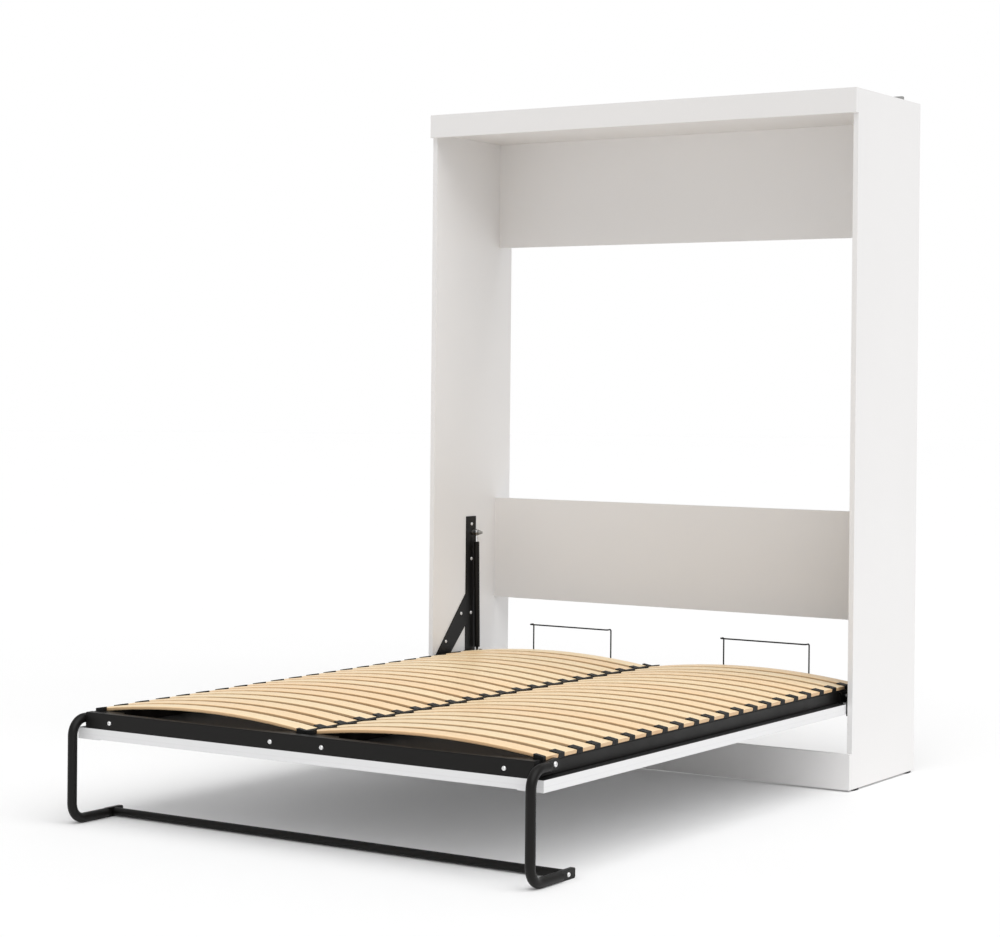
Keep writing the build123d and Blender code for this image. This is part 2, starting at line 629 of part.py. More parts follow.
with BuildPart() as slat_blank:
    with BuildLine() as slat_path:
        ThreePointArc(
            (SLAT_INNER + SLAT_END_GAP, 0, SLAT_END_Z + SLAT_THICKNESS / 2),
            (SLAT_MID, 0, SLAT_END_Z + SLAT_CROWN + SLAT_THICKNESS / 2),
            (RAIL_OUTER - SLAT_END_GAP, 0, SLAT_END_Z + SLAT_THICKNESS / 2),
        )
    with BuildSketch(Plane(origin=slat_path.line @ 0, x_dir=(0, 1, 0), z_dir=slat_path.line % 0)):
        RectangleRounded(SLAT_WIDTH, SLAT_THICKNESS, SLAT_EDGE_ROUND)
    sweep(path=slat_path.line)

with BuildPart() as slats_right:
    with Locations(*[(0, y, 0) for y in SLAT_YS]):
        add(slat_blank.part)
save(slats_right, "slats_right")

with BuildPart() as slats_left:
    mirror(slats_right.part, about=Plane.YZ)
save(slats_left, "slats_left")


def holder_outline(low_x, high_x, low_top, high_top):
    """The side view of a slat holder: a block on the rail whose top follows the slat's slope."""
    return [(low_x, RAIL_TOP), (high_x, RAIL_TOP), (high_x, high_top), (low_x, low_top)]


HOLDER_LIP = 2
HOLDER_LOW_TOP = SLAT_END_Z + SLAT_THICKNESS + HOLDER_LIP
OUTER_HOLDER_TOP = 337
INNER_HOLDER_TOP = 336.5
INNER_HOLDER_END = CENTRE_RAIL_INNER + INNER_HOLDER_WIDTH
SLOT_RUN_OUT = 1  # the slot's end past the rail
OUTER_HOLDER = holder_outline(RAIL_INNER, RAIL_OUTER, OUTER_HOLDER_TOP, HOLDER_LOW_TOP)
INNER_HOLDER = holder_outline(CENTRE_RAIL_INNER, INNER_HOLDER_END, HOLDER_LOW_TOP, INNER_HOLDER_TOP)

# Each slot follows the slat's underside and is open at the top, so the slat lies in a cradle.
SLOT_TOP = HOLDER_LOW_TOP + SLAT_CROWN
for name, outline in (("outer", OUTER_HOLDER), ("inner", INNER_HOLDER)):
    with BuildPart() as holder_blank:
        with BuildSketch(Plane.XZ):
            with BuildLine():
                Polyline(*outline, close=True)
            make_face()
        extrude(amount=HOLDER_LENGTH / 2, both=True)
        with BuildSketch(Plane.XZ):
            with BuildLine():
                underside = ThreePointArc(
                    (SLAT_INNER - SLAT_PLAY, SLAT_END_Z - SLAT_PLAY),
                    (SLAT_MID, SLAT_END_Z + SLAT_CROWN - SLAT_PLAY),
                    (RAIL_OUTER + SLOT_RUN_OUT, SLAT_END_Z - SLAT_PLAY),
                )
                Polyline(
                    underside @ 0,
                    (SLAT_INNER - SLAT_PLAY, SLOT_TOP),
                    (RAIL_OUTER + SLOT_RUN_OUT, SLOT_TOP),
                    underside @ 1,
                )
            make_face()
        extrude(amount=SLAT_WIDTH / 2 + SLAT_PLAY, both=True, mode=Mode.SUBTRACT)
    with BuildPart() as holders_right:
        with Locations(*[(0, y, 0) for y in SLAT_YS]):
            add(holder_blank.part)
    save(holders_right, f"{name}_slat_holders_right")
    with BuildPart() as holders_left:
        mirror(holders_right.part, about=Plane.YZ)
    save(holders_left, f"{name}_slat_holders_left")

# ============================================================================
# Face panel, which closes the cabinet when the bed is up
# ============================================================================

BED_MIDDLE = (BED_FOOT + BED_HEAD) / 2
BED_LENGTH = BED_HEAD - BED_FOOT
BACKER_LOW = FACE_LOW + STILE_THICKNESS

# Each lift lever's pivot lug hangs in a notch in the edge of the boards, open at the top and the side.
NOTCH_INNER = 764
NOTCH_FLOOR = 252
NOTCH_LENGTH = 32
NOTCH_PLACES = [(sign * (NOTCH_INNER + FACE_HALF_WIDTH) / 2, PIVOT_Y) for _, sign in SIDES]

with BuildPart() as face_panel:
    with BuildSketch(Plane.XY.offset(BACKER_LOW)):
        with Locations((0, BED_MIDDLE)):
            Rectangle(2 * FACE_HALF_WIDTH, BED_LENGTH)
    extrude(amount=FACE_TOP - BACKER_LOW)
    fillet(face_panel.edges().group_by(Axis.Z)[-1], EDGE_ROUND)
    with BuildSketch(Plane.XY.offset(FACE_TOP - PANEL_SCREW_DEPTH)):
        with Locations(*PANEL_SCREW_PLACES):
            Circle(PANEL_SCREW_RADIUS)
    extrude(amount=PANEL_SCREW_DEPTH, mode=Mode.SUBTRACT)
    with BuildSketch(Plane.XY.offset(BACKER_LOW)):
        with Locations(*NOTCH_PLACES):
            Rectangle(FACE_HALF_WIDTH - NOTCH_INNER, NOTCH_LENGTH)
    extrude(amount=FACE_TOP - BACKER_LOW, mode=Mode.SUBTRACT)
save(face_panel, "face_panel")

for side, sign in SIDES:
    with BuildPart() as face_stile:
        with BuildSketch(Plane.XY.offset(FACE_LOW)):
            with Locations((sign * (FACE_HALF_WIDTH - STILE_WIDTH / 2), BED_MIDDLE)):
                Rectangle(STILE_WIDTH, BED_LENGTH)
        extrude(amount=STILE_THICKNESS)
        fillet(face_stile.edges().group_by(Axis.Z)[0], EDGE_ROUND)
        with BuildSketch(Plane.XY.offset(NOTCH_FLOOR)):
            with Locations(*NOTCH_PLACES):
                Rectangle(FACE_HALF_WIDTH - NOTCH_INNER, NOTCH_LENGTH)
        extrude(amount=BACKER_LOW - NOTCH_FLOOR, mode=Mode.SUBTRACT)
    save(face_stile, f"face_stile_{side}")

with BuildPart() as face_centre_panel:
    with BuildSketch(Plane.XY.offset(FACE_LOW + CENTRE_RECESS)):
        with Locations((0, BED_MIDDLE)):
            Rectangle(2 * (FACE_HALF_WIDTH - STILE_WIDTH), BED_LENGTH)
    extrude(amount=STILE_THICKNESS - CENTRE_RECESS)
    fillet(face_centre_panel.edges().group_by(Axis.Z)[0], EDGE_ROUND)
save(face_centre_panel, "face_centre_panel")

with BuildPart() as face_panel_screws:
    with BuildSketch(Plane.XY.offset(FACE_TOP - PANEL_SCREW_DEPTH)):
        with Locations(*PANEL_SCREW_PLACES):
            Circle(PANEL_SCREW_RADIUS)
    extrude(amount=PANEL_SCREW_DEPTH + RAIL_WALL)
    with BuildSketch(Plane.XY.offset(FACE_TOP + RAIL_WALL)):
        with Locations(*PANEL_SCREW_PLACES):
            Circle(PANEL_SCREW_HEAD)
    extrude(amount=PANEL_SCREW_HEAD_HEIGHT)
save(face_panel_screws, "face_panel_screws")

# ============================================================================
# Pivot bushes, lift levers and wire retainers
# ============================================================================

BUSH_FLANGE_RADIUS = 10
BUSH_FLANGE = 1.2
LEVER_OUTER = RAIL_OUTER + LEVER_PLATE
LEVER_EYE = 15
LEVER_LUG = 12
LEVER_MARGIN = 5  # bare rail below the lever
for side, sign in SIDES:
    with BuildPart() as pivot_bush:
        with BuildSketch(x_plane(span(sign, RAIL_OUTER, LEVER_OUTER))):
            with Locations((PIVOT_Y, PIVOT_Z)):
                Circle(BUSH_RADIUS)
        extrude(amount=LEVER_PLATE)
        with BuildSketch(x_plane(span(sign, LEVER_OUTER, LEVER_OUTER + BUSH_FLANGE))):
            with Locations((PIVOT_Y, PIVOT_Z)):
                Circle(BUSH_FLANGE_RADIUS)
        extrude(amount=BUSH_FLANGE)
        with BuildSketch(x_plane(span(sign, RAIL_OUTER, LEVER_OUTER + BUSH_FLANGE))):
            with Locations((PIVOT_Y, PIVOT_Z)):
                Circle(PIVOT_PIN_RADIUS + RUNNING_CLEARANCE)
        extrude(amount=LEVER_PLATE + BUSH_FLANGE, mode=Mode.SUBTRACT)
    save(pivot_bush, f"pivot_bush_{side}")

for side, sign in SIDES:
    with BuildPart() as lift_lever:
        with BuildSketch(x_plane(span(sign, RAIL_OUTER, LEVER_OUTER))):
            with BuildLine():
                Polyline(
                    (PIVOT_Y - LEVER_LUG, PIVOT_Z),
                    (PIVOT_Y + LEVER_LUG, PIVOT_Z),
                    (PIVOT_Y + LEVER_LUG, FACE_TOP + LEVER_MARGIN),
                    (BED_HEAD, FACE_TOP + LEVER_MARGIN),
                    (LEVER_Y, LEVER_Z - LEVER_EYE),
                    (LEVER_Y, LEVER_Z + LEVER_EYE),
                    (BED_HEAD, RAIL_TOP - LEVER_MARGIN),
                    (PIVOT_Y - LEVER_LUG, RAIL_TOP - LEVER_MARGIN),
                    close=True,
                )
            make_face()
            with Locations((PIVOT_Y, PIVOT_Z)):
                Circle(LEVER_LUG)
            with Locations((LEVER_Y, LEVER_Z)):
                Circle(LEVER_EYE)
            with Locations((PIVOT_Y, PIVOT_Z)):
                Circle(BUSH_RADIUS, mode=Mode.SUBTRACT)
            with Locations(*LEVER_BOLT_PLACES):
                Circle(LEVER_BOLT_RADIUS + BOLT_PLAY, mode=Mode.SUBTRACT)
        extrude(amount=LEVER_PLATE)
    save(lift_lever, f"lift_lever_{side}")

LEVER_BOLT_HEAD = 6.5
LEVER_BOLT_HEAD_HEIGHT = 4
LEVER_NUT_HEIGHT = 6
LEVER_BOLT_TIP = RAIL_INNER - LEVER_NUT_HEIGHT - 1  # one thread past the nut
with BuildPart() as lift_lever_bolts:
    for _, sign in SIDES:
        for inner, outer, radius in (
            (LEVER_BOLT_TIP, LEVER_OUTER, LEVER_BOLT_RADIUS),
            (LEVER_OUTER, LEVER_OUTER + LEVER_BOLT_HEAD_HEIGHT, LEVER_BOLT_HEAD),
            (RAIL_INNER - LEVER_NUT_HEIGHT, RAIL_INNER, LEVER_BOLT_HEAD),
        ):
            with BuildSketch(x_plane(span(sign, inner, outer))):
                with Locations(*LEVER_BOLT_PLACES):
                    Circle(radius)
            extrude(amount=outer - inner)
save(lift_lever_bolts, "lift_lever_bolts")

RETAINER_WIRE = 2.5
RETAINER_X = (224, 546)
RETAINER_Y = FRONT + 262
RETAINER_RETURN = 27
RETAINER_TOP = 433
RETAINER_LOW = 300
RETAINER_BEND = 7
for side, sign in SIDES:
    near, far = (sign * x for x in RETAINER_X)
    with BuildPart() as mattress_retainer:
        with BuildLine() as wire_path:
            FilletPolyline(
                (near, BED_HEAD, RETAINER_LOW),
                (near, RETAINER_Y, RETAINER_LOW),
                (near, RETAINER_Y, RETAINER_TOP),
                (near, RETAINER_Y - RETAINER_RETURN, RETAINER_TOP),
                (far, RETAINER_Y - RETAINER_RETURN, RETAINER_TOP),
                (far, RETAINER_Y, RETAINER_TOP),
                (far, RETAINER_Y, RETAINER_LOW),
                (far, BED_HEAD, RETAINER_LOW),
                radius=RETAINER_BEND,
            )
        with BuildSketch(Plane(origin=wire_path.line @ 0, z_dir=wire_path.line % 0)):
            Circle(RETAINER_WIRE)
        sweep(path=wire_path.line)
    save(mattress_retainer, f"mattress_retainer_{side}")

# ============================================================================
# Leg frame
# ============================================================================

TAB_INNER = 774.6
TAB_OUTER = 786.6
TAB_REAR = 24
TAB_HALF = 15
TAB_CORNER = 8
TAB_JOIN_REACH = 1800  # front end of the flattened stretch
TAB_JOIN_INSET = 1
PADDLE_INNER = 782
PADDLE_OUTER = 794
PADDLE_FRONT = 1728
PADDLE_ROUND = 6
PADDLE_OVERLAP = 6  # how far the round tube runs into the flat end
ARM_END_REACH = 1786
LEG_BOLT_HEAD = 8
LEG_BOLT_HEAD_HEIGHT = 4.5
LEG_BOLT_END_PLAY = 0.5
LEG_NUT_HEIGHT = 7
LEG_WASHER = 1.2

for side, sign in SIDES:
    with BuildPart() as leg_tube:
        with BuildLine() as leg_path:
            FilletPolyline(
                (sign * LEG_X, FRONT - ARM_END_REACH, LEG_ARM_Z),
                (sign * LEG_X, LEG_Y, LEG_ARM_Z),
                (sign * LEG_X, LEG_Y, LEG_RADIUS),
                (sign * LEG_X, FRONT - PADDLE_FRONT + PADDLE_OVERLAP, LEG_RADIUS),
                radius=LEG_BEND,
            )
        with BuildSketch(Plane(origin=leg_path.line @ 0, z_dir=leg_path.line % 0)):
            Circle(LEG_RADIUS)
            Circle(LEG_RADIUS - LEG_WALL, mode=Mode.SUBTRACT)
        sweep(path=leg_path.line)
        # The tube is pressed flat where it hinges on the bed and where the cross bar is bolted.
        with BuildSketch(x_plane(span(sign, TAB_INNER, TAB_OUTER))):
            with BuildLine():
                Polyline(
                    (FRONT - TAB_JOIN_REACH, LEG_ARM_Z - LEG_RADIUS + TAB_JOIN_INSET),
                    (LEG_PIVOT_Y, LEG_PIVOT_Z - TAB_HALF),
                    (LEG_PIVOT_Y + TAB_REAR - TAB_CORNER, LEG_PIVOT_Z - TAB_HALF),
                    (LEG_PIVOT_Y + TAB_REAR, LEG_PIVOT_Z - TAB_HALF + TAB_CORNER),
                    (LEG_PIVOT_Y + TAB_REAR, LEG_PIVOT_Z + TAB_HALF - TAB_CORNER),
                    (LEG_PIVOT_Y + TAB_REAR - TAB_CORNER, LEG_PIVOT_Z + TAB_HALF),
                    (LEG_PIVOT_Y, LEG_PIVOT_Z + TAB_HALF),
                    (FRONT - TAB_JOIN_REACH, LEG_ARM_Z + LEG_RADIUS - TAB_JOIN_INSET),
                    close=True,
                )
            make_face()
            with Locations((LEG_PIVOT_Y, LEG_PIVOT_Z)):
                Circle(LEG_BOLT_RADIUS + RUNNING_CLEARANCE, mode=Mode.SUBTRACT)
        extrude(amount=TAB_OUTER - TAB_INNER)
        paddle_middle = FRONT - (PADDLE_FRONT + LEG_FOOT_END) / 2
        with BuildSketch(x_plane(span(sign, PADDLE_INNER, PADDLE_OUTER))):
            with Locations((paddle_middle, LEG_RADIUS)):
                RectangleRounded(PADDLE_FRONT - LEG_FOOT_END, 2 * LEG_RADIUS, PADDLE_ROUND)
            with Locations((CROSS_BAR_Y, LEG_RADIUS)):
                Circle(LEVER_BOLT_RADIUS + BOLT_PLAY, mode=Mode.SUBTRACT)
        extrude(amount=PADDLE_OUTER - PADDLE_INNER)
    save(leg_tube, f"leg_tube_{side}")

CROSS_BAR_PLUG = 20  # solid, threaded end of the bar
CROSS_BOLT_BITE = 18
with BuildPart() as leg_cross_bar:
    with BuildSketch(Plane.YZ.offset(-PADDLE_INNER)):
        with Locations((CROSS_BAR_Y, LEG_RADIUS)):
            Circle(CROSS_BAR_RADIUS)
            Circle(CROSS_BAR_RADIUS - LEG_WALL, mode=Mode.SUBTRACT)
    extrude(amount=2 * PADDLE_INNER)
    for low_x in (-PADDLE_INNER, PADDLE_INNER - CROSS_BAR_PLUG):
        with BuildSketch(Plane.YZ.offset(low_x)):
            with Locations((CROSS_BAR_Y, LEG_RADIUS)):
                Circle(CROSS_BAR_RADIUS)
                Circle(LEVER_BOLT_RADIUS, mode=Mode.SUBTRACT)
        extrude(amount=CROSS_BAR_PLUG)
save(leg_cross_bar, "leg_cross_bar")

with BuildPart() as leg_cross_bolts:
    for _, sign in SIDES:
        for inner, outer, radius in (
            (PADDLE_INNER - CROSS_BOLT_BITE, PADDLE_OUTER, LEVER_BOLT_RADIUS),
            (PADDLE_OUTER, PADDLE_OUTER + LEVER_BOLT_HEAD_HEIGHT, LEVER_BOLT_HEAD),
        ):
            with BuildSketch(x_plane(span(sign, inner, outer))):
                with Locations((CROSS_BAR_Y, LEG_RADIUS)):
                    Circle(radius)
            extrude(amount=outer - inner)
save(leg_cross_bolts, "leg_cross_bolts")

head_seat = TAB_OUTER + LEG_BOLT_END_PLAY
for side, sign in SIDES:
    with BuildPart() as leg_pivot_bolt:
        for inner, outer, radius in (
            (RAIL_INNER - LEG_NUT_HEIGHT - 1, head_seat, LEG_BOLT_RADIUS),
            (head_seat, head_seat + LEG_BOLT_HEAD_HEIGHT, LEG_BOLT_HEAD),
            (RAIL_INNER - LEG_NUT_HEIGHT, RAIL_INNER, LEG_BOLT_HEAD),
            (RAIL_OUTER, RAIL_OUTER + LEG_WASHER, LEG_BOLT_HEAD),
        ):
            with BuildSketch(x_plane(span(sign, inner, outer))):
                with Locations((LEG_PIVOT_Y, LEG_PIVOT_Z)):
                    Circle(radius)
            extrude(amount=outer - inner)
    save(leg_pivot_bolt, f"leg_pivot_bolt_{side}")

# ============================================================================
# Gas springs, from the upper stud down to the lift lever
# ============================================================================

GAS_SPAN = math.hypot(LEVER_Y - STUD_Y, LEVER_Z - STUD_Z)
CYLINDER_START = 34
CYLINDER_END = GAS_SPAN - 22
CYLINDER_ROUND = 2
CYLINDER_FLOOR = 10
GUIDE_LENGTH = 15
ROD_END = 372
ROD_START = 15
PISTON_LENGTH = 12
PISTON_RADIUS = GAS_BORE_RADIUS - RUNNING_CLEARANCE
NECK_RADIUS = 4
NECK_START = 8
ROD_NECK = 8
CYLINDER_NECK = 14
STUD_COLLAR_RADIUS = 8
STUD_HEAD_HEIGHT = 4
LEVER_GAP = 0.5  # the opened pivot: the lower stud stops this far from the lift lever

stud_inner = LEVER_OUTER + LEVER_GAP
eye_outer = GAS_X + EYE_WIDTH / 2
for side, sign in SIDES:
    stud_point = Vector(sign * GAS_X, STUD_Y, STUD_Z)
    lever_point = Vector(sign * GAS_X, LEVER_Y, LEVER_Z)
    along = (lever_point - stud_point).normalized()
    axis_plane = Plane(origin=stud_point, x_dir=(1, 0, 0), z_dir=along)
    eye_low_x = span(sign, GAS_X - EYE_WIDTH / 2, GAS_X + EYE_WIDTH / 2)

    with BuildPart() as gas_rod:
        with BuildSketch(axis_plane.offset(NECK_START)):
            Circle(NECK_RADIUS)
        extrude(amount=ROD_NECK)
        with BuildSketch(axis_plane.offset(ROD_START)):
            Circle(GAS_ROD_RADIUS)
        extrude(amount=ROD_END - ROD_START)
        with BuildSketch(axis_plane.offset(ROD_END - PISTON_LENGTH)):
            Circle(PISTON_RADIUS)
        extrude(amount=PISTON_LENGTH)
        with BuildSketch(x_plane(eye_low_x)):
            with Locations((STUD_Y, STUD_Z)):
                Circle(EYE_RADIUS)
        extrude(amount=EYE_WIDTH)
        with BuildSketch(x_plane(eye_low_x)):
            with Locations((STUD_Y, STUD_Z)):
                Circle(STUD_RADIUS + RUNNING_CLEARANCE)
        extrude(amount=EYE_WIDTH, mode=Mode.SUBTRACT)
    save(gas_rod, f"gas_rod_{side}")

    with BuildPart() as gas_cylinder:
        with BuildSketch(axis_plane.offset(CYLINDER_START)):
            Circle(GAS_RADIUS)
        extrude(amount=CYLINDER_END - CYLINDER_START)
        fillet(gas_cylinder.edges().filter_by(GeomType.CIRCLE), CYLINDER_ROUND)
        with BuildSketch(axis_plane.offset(CYLINDER_START + GUIDE_LENGTH)):
            Circle(GAS_BORE_RADIUS)
        extrude(amount=CYLINDER_END - CYLINDER_START - GUIDE_LENGTH - CYLINDER_FLOOR, mode=Mode.SUBTRACT)
        with BuildSketch(axis_plane.offset(CYLINDER_START)):
            Circle(GAS_ROD_RADIUS + RUNNING_CLEARANCE)
        extrude(amount=GUIDE_LENGTH, mode=Mode.SUBTRACT)
        with BuildSketch(axis_plane.offset(CYLINDER_END)):
            Circle(NECK_RADIUS)
        extrude(amount=CYLINDER_NECK)
        with BuildSketch(x_plane(eye_low_x)):
            with Locations((LEVER_Y, LEVER_Z)):
                Circle(EYE_RADIUS)
        extrude(amount=EYE_WIDTH)
        with BuildSketch(x_plane(eye_low_x)):
            with Locations((LEVER_Y, LEVER_Z)):
                Circle(STUD_RADIUS)
        extrude(amount=EYE_WIDTH, mode=Mode.SUBTRACT)
    save(gas_cylinder, f"gas_cylinder_{side}")

    with BuildPart() as gas_lower_stud:
        for inner, outer, radius in (
            (stud_inner, eye_outer, STUD_RADIUS),
            (stud_inner, eye_outer - EYE_WIDTH, STUD_COLLAR_RADIUS),
            (eye_outer, eye_outer + STUD_HEAD_HEIGHT, STUD_COLLAR_RADIUS),
        ):
            with BuildSketch(x_plane(span(sign, inner, outer))):
                with Locations((LEVER_Y, LEVER_Z)):
                    Circle(radius)
            extrude(amount=outer - inner)
    save(gas_lower_stud, f"gas_lower_stud_{side}")
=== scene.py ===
"""Fold-down wall bed: finishes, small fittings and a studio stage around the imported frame."""

import math

import bmesh
import bpy
from bpy.props import FloatProperty, FloatVectorProperty, PointerProperty
from bpy.types import Operator, Panel, PropertyGroup
from mathutils import Matrix, Vector


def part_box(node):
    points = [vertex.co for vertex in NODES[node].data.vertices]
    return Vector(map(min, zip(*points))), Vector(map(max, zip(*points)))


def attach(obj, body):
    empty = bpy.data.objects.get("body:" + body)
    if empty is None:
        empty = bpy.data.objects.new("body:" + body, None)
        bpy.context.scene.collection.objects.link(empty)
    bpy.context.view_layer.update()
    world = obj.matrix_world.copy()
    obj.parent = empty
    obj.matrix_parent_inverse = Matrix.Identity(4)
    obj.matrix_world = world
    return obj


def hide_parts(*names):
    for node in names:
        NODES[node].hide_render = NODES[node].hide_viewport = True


bl_info = {
    "name": "Fold-Down Wall Bed",
    "version": (1, 0, 0),
    "blender": (4, 5, 0),
    "location": "View3D > Sidebar > Wall Bed",
    "description": "Finishes and fittings of a fold-down slatted wall bed",
    "category": "Object",
}

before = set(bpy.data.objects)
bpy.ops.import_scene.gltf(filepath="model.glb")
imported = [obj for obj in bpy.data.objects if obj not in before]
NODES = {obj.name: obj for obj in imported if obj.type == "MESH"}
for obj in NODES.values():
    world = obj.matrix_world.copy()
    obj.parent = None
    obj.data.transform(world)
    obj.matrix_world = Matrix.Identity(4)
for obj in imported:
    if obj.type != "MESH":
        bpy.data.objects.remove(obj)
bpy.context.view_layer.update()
MM = 0.001

SIDES = ("left", "right")
CABINET_BOARDS = (
    "left_side_panel",
    "right_side_panel",
    "top_panel",
    "header_fascia",
    "kick_board",
    "upper_back_rail",
    "headboard_rail",
)
FACE_BOARDS = ("face_panel", "face_stile_left", "face_stile_right", "face_centre_panel")
COATED_STEEL = (
    "side_rail_left",
    "side_rail_right",
    "centre_rail_left",
    "centre_rail_right",
    "foot_rail",
    "head_rail",
    "corner_brackets",
    "lift_lever_left",
    "lift_lever_right",
    "hinge_bracket_left",
    "hinge_bracket_right",
    "leg_tube_left",
    "leg_tube_right",
    "leg_cross_bar",
    "gas_cylinder_left",
    "gas_cylinder_right",
    "mattress_retainer_left",
    "mattress_retainer_right",
)
ZINC_PARTS = (
    "wall_bracket_left",
    "wall_bracket_right",
    "cam_locks",
    "cam_bolts",
    "foot_rail_nuts",
    "face_panel_screws",
    "pivot_pin_left",
    "pivot_pin_right",
    "gas_upper_stud_left",
    "gas_upper_stud_right",
    "gas_lower_stud_left",
    "gas_lower_stud_right",
)
HOLDERS = tuple(f"{row}_slat_holders_{side}" for row in ("outer", "inner") for side in SIDES)

# Side rails, from the middle plane.
RAIL_INNER = 743 * MM
RAIL_OUTER = 773 * MM

# Nuts and washers of the bolts along X: inner and outer distance, radius and number of sides.
LEVER_COLLARS = ((RAIL_INNER - 6 * MM, RAIL_INNER, 7 * MM, 6),)
LEG_COLLARS = (
    (RAIL_INNER - 7 * MM, RAIL_INNER, 9 * MM, 6),
    (RAIL_OUTER, RAIL_OUTER + 1.2 * MM, 8 * MM, 0),
)

# Node, axis, way of the head, head height, shank radius, sides of the recess, body, collars.
BOLT_KINDS = (
    ("foot_rail_bolts", 1, -1, 4.5 * MM, 4 * MM, 6, "bed", ()),
    ("lift_lever_bolts", 0, 1, 4.0 * MM, 4 * MM, 6, "bed", LEVER_COLLARS),
    ("leg_pivot_bolt_left", 0, 1, 4.5 * MM, 5 * MM, 6, "bed", LEG_COLLARS),
    ("leg_pivot_bolt_right", 0, 1, 4.5 * MM, 5 * MM, 6, "bed", LEG_COLLARS),
    ("leg_cross_bolts", 0, 1, 4.0 * MM, 4 * MM, 6, "leg_frame", ()),
    ("hinge_bracket_screws", 0, -1, 2.5 * MM, 2.5 * MM, 4, "cabinet", ()),
)
HEX_SOCKET = 0.46  # recess radius as a share of the head's
CROSS_SOCKET = 0.62
CROSS_ARM = 0.3  # half width of a cross recess's arm, as a share of its radius
HEX_SEGMENTS = 36
CROSS_SEGMENTS = 48
COLLAR_SEGMENTS = 48
COLLAR_EASE = 0.12  # eased rim as a share of the height
SMALLEST_SINE = 1e-6

# Plastic caps in the tubes' ends.
TUBE_WALL = 2.2 * MM
CAP_DEPTH = 10 * MM
CAP_INSET = 0.4 * MM
CAP_ROUNDING = 1.0 * MM

SMOOTH_BELOW = math.radians(35.0)
EDGE_SEGMENTS = 2
MERGE_DISTANCE = 1e-6
SLAT_PLIES = 7
SEAM_WIDTH = 0.3 * MM
ROD_COLOUR = (0.7, 0.7, 0.71)

FLOOR_RADIUS = 60.0
FLOOR_SEGMENTS = 96
SENSOR_WIDTH = 36.0
LENS_SHIFT = (-0.00156, -0.06243)


# ---------------------------------------------------------------------------
# Shader helpers and shared effects
# ---------------------------------------------------------------------------


def add_node(tree, kind, **settings):
    """Adds a shader node and sets its properties."""
    made = tree.nodes.new(kind)
    for key, value in settings.items():
        setattr(made, key, value)
    return made


def feed(tree, target, source):
    """Links a source socket to a target, or sets the target to a plain value."""
    if isinstance(source, bpy.types.NodeSocket):
        tree.links.new(source, target)
    else:
        target.default_value = source


def maths(tree, operation, first, second=0.0):
    """One Math node; returns its output."""
    made = add_node(tree, "ShaderNodeMath", operation=operation)
    feed(tree, made.inputs[0], first)
    feed(tree, made.inputs[1], second)
    return made.outputs[0]


def remap(tree, value, low, high, to_low, to_high):
    """A clamped Map Range; returns its output."""
    made = add_node(tree, "ShaderNodeMapRange", clamp=True)
    for socket, source in zip(made.inputs, (value, low, high, to_low, to_high)):
        feed(tree, socket, source)
    return made.outputs["Result"]


def blend_colours(tree, amount, first, second):
    """A colour Mix; returns its output."""
    made = add_node(tree, "ShaderNodeMix", data_type="RGBA")
    feed(tree, made.inputs["Factor"], amount)
    feed(tree, made.inputs["A"], first)
    feed(tree, made.inputs["B"], second)
    return made.outputs["Result"]


def noise(tree, vector, scale, detail=2.0, roughness=0.5):
    """A Noise Texture; returns its value output."""
    made = add_node(tree, "ShaderNodeTexNoise")
    feed(tree, made.inputs["Vector"], vector)
    feed(tree, made.inputs["Scale"], scale)
    feed(tree, made.inputs["Detail"], detail)
    feed(tree, made.inputs["Roughness"], roughness)
    return made.outputs["Fac"]


def stretched(tree, vector, factors):
    """Scales a coordinate along its axes; returns its output."""
    made = add_node(tree, "ShaderNodeMapping", vector_type="POINT")
    feed(tree, made.inputs["Vector"], vector)
    made.inputs["Scale"].default_value = factors
    return made.outputs["Vector"]


def effect_group(name, inputs, outputs):
    """An empty shader node group with named sockets; returns it with its input and output nodes."""
    group = bpy.data.node_groups.new(name, "ShaderNodeTree")
    for socket_name, kind, default in inputs:
        socket = group.interface.new_socket(socket_name, in_out="INPUT", socket_type=kind)
        if default is not None:
            socket.default_value = default
    for socket_name, kind in outputs:
        group.interface.new_socket(socket_name, in_out="OUTPUT", socket_type=kind)
    return group, add_node(group, "NodeGroupInput"), add_node(group, "NodeGroupOutput")


def powder_coat_group():
    """Orange peel and fine speckle of a baked coat, with slow drift in gloss."""
    name = "Powder coat"
    if name in bpy.data.node_groups:
        return bpy.data.node_groups[name]
    group, given, result = effect_group(
        name,
        (("Vector", "NodeSocketVector", None), ("Grain", "NodeSocketFloat", 700.0)),
        (("Height", "NodeSocketFloat"), ("Speckle", "NodeSocketFloat"), ("Drift", "NodeSocketFloat")),
    )
    place, grain = given.outputs["Vector"], given.outputs["Grain"]
    peel = noise(group, place, grain, 2.0, 0.6)
    fine = noise(group, place, maths(group, "MULTIPLY", grain, 3.1), 1.0, 0.5)
    relief = maths(group, "ADD", peel, maths(group, "MULTIPLY", fine, 0.4))
    feed(group, result.inputs["Height"], relief)
    feed(group, result.inputs["Speckle"], remap(group, fine, 0.6, 0.72, 0.0, 1.0))
    feed(group, result.inputs["Drift"], noise(group, place, 7.0, 4.0, 0.6))
    return group


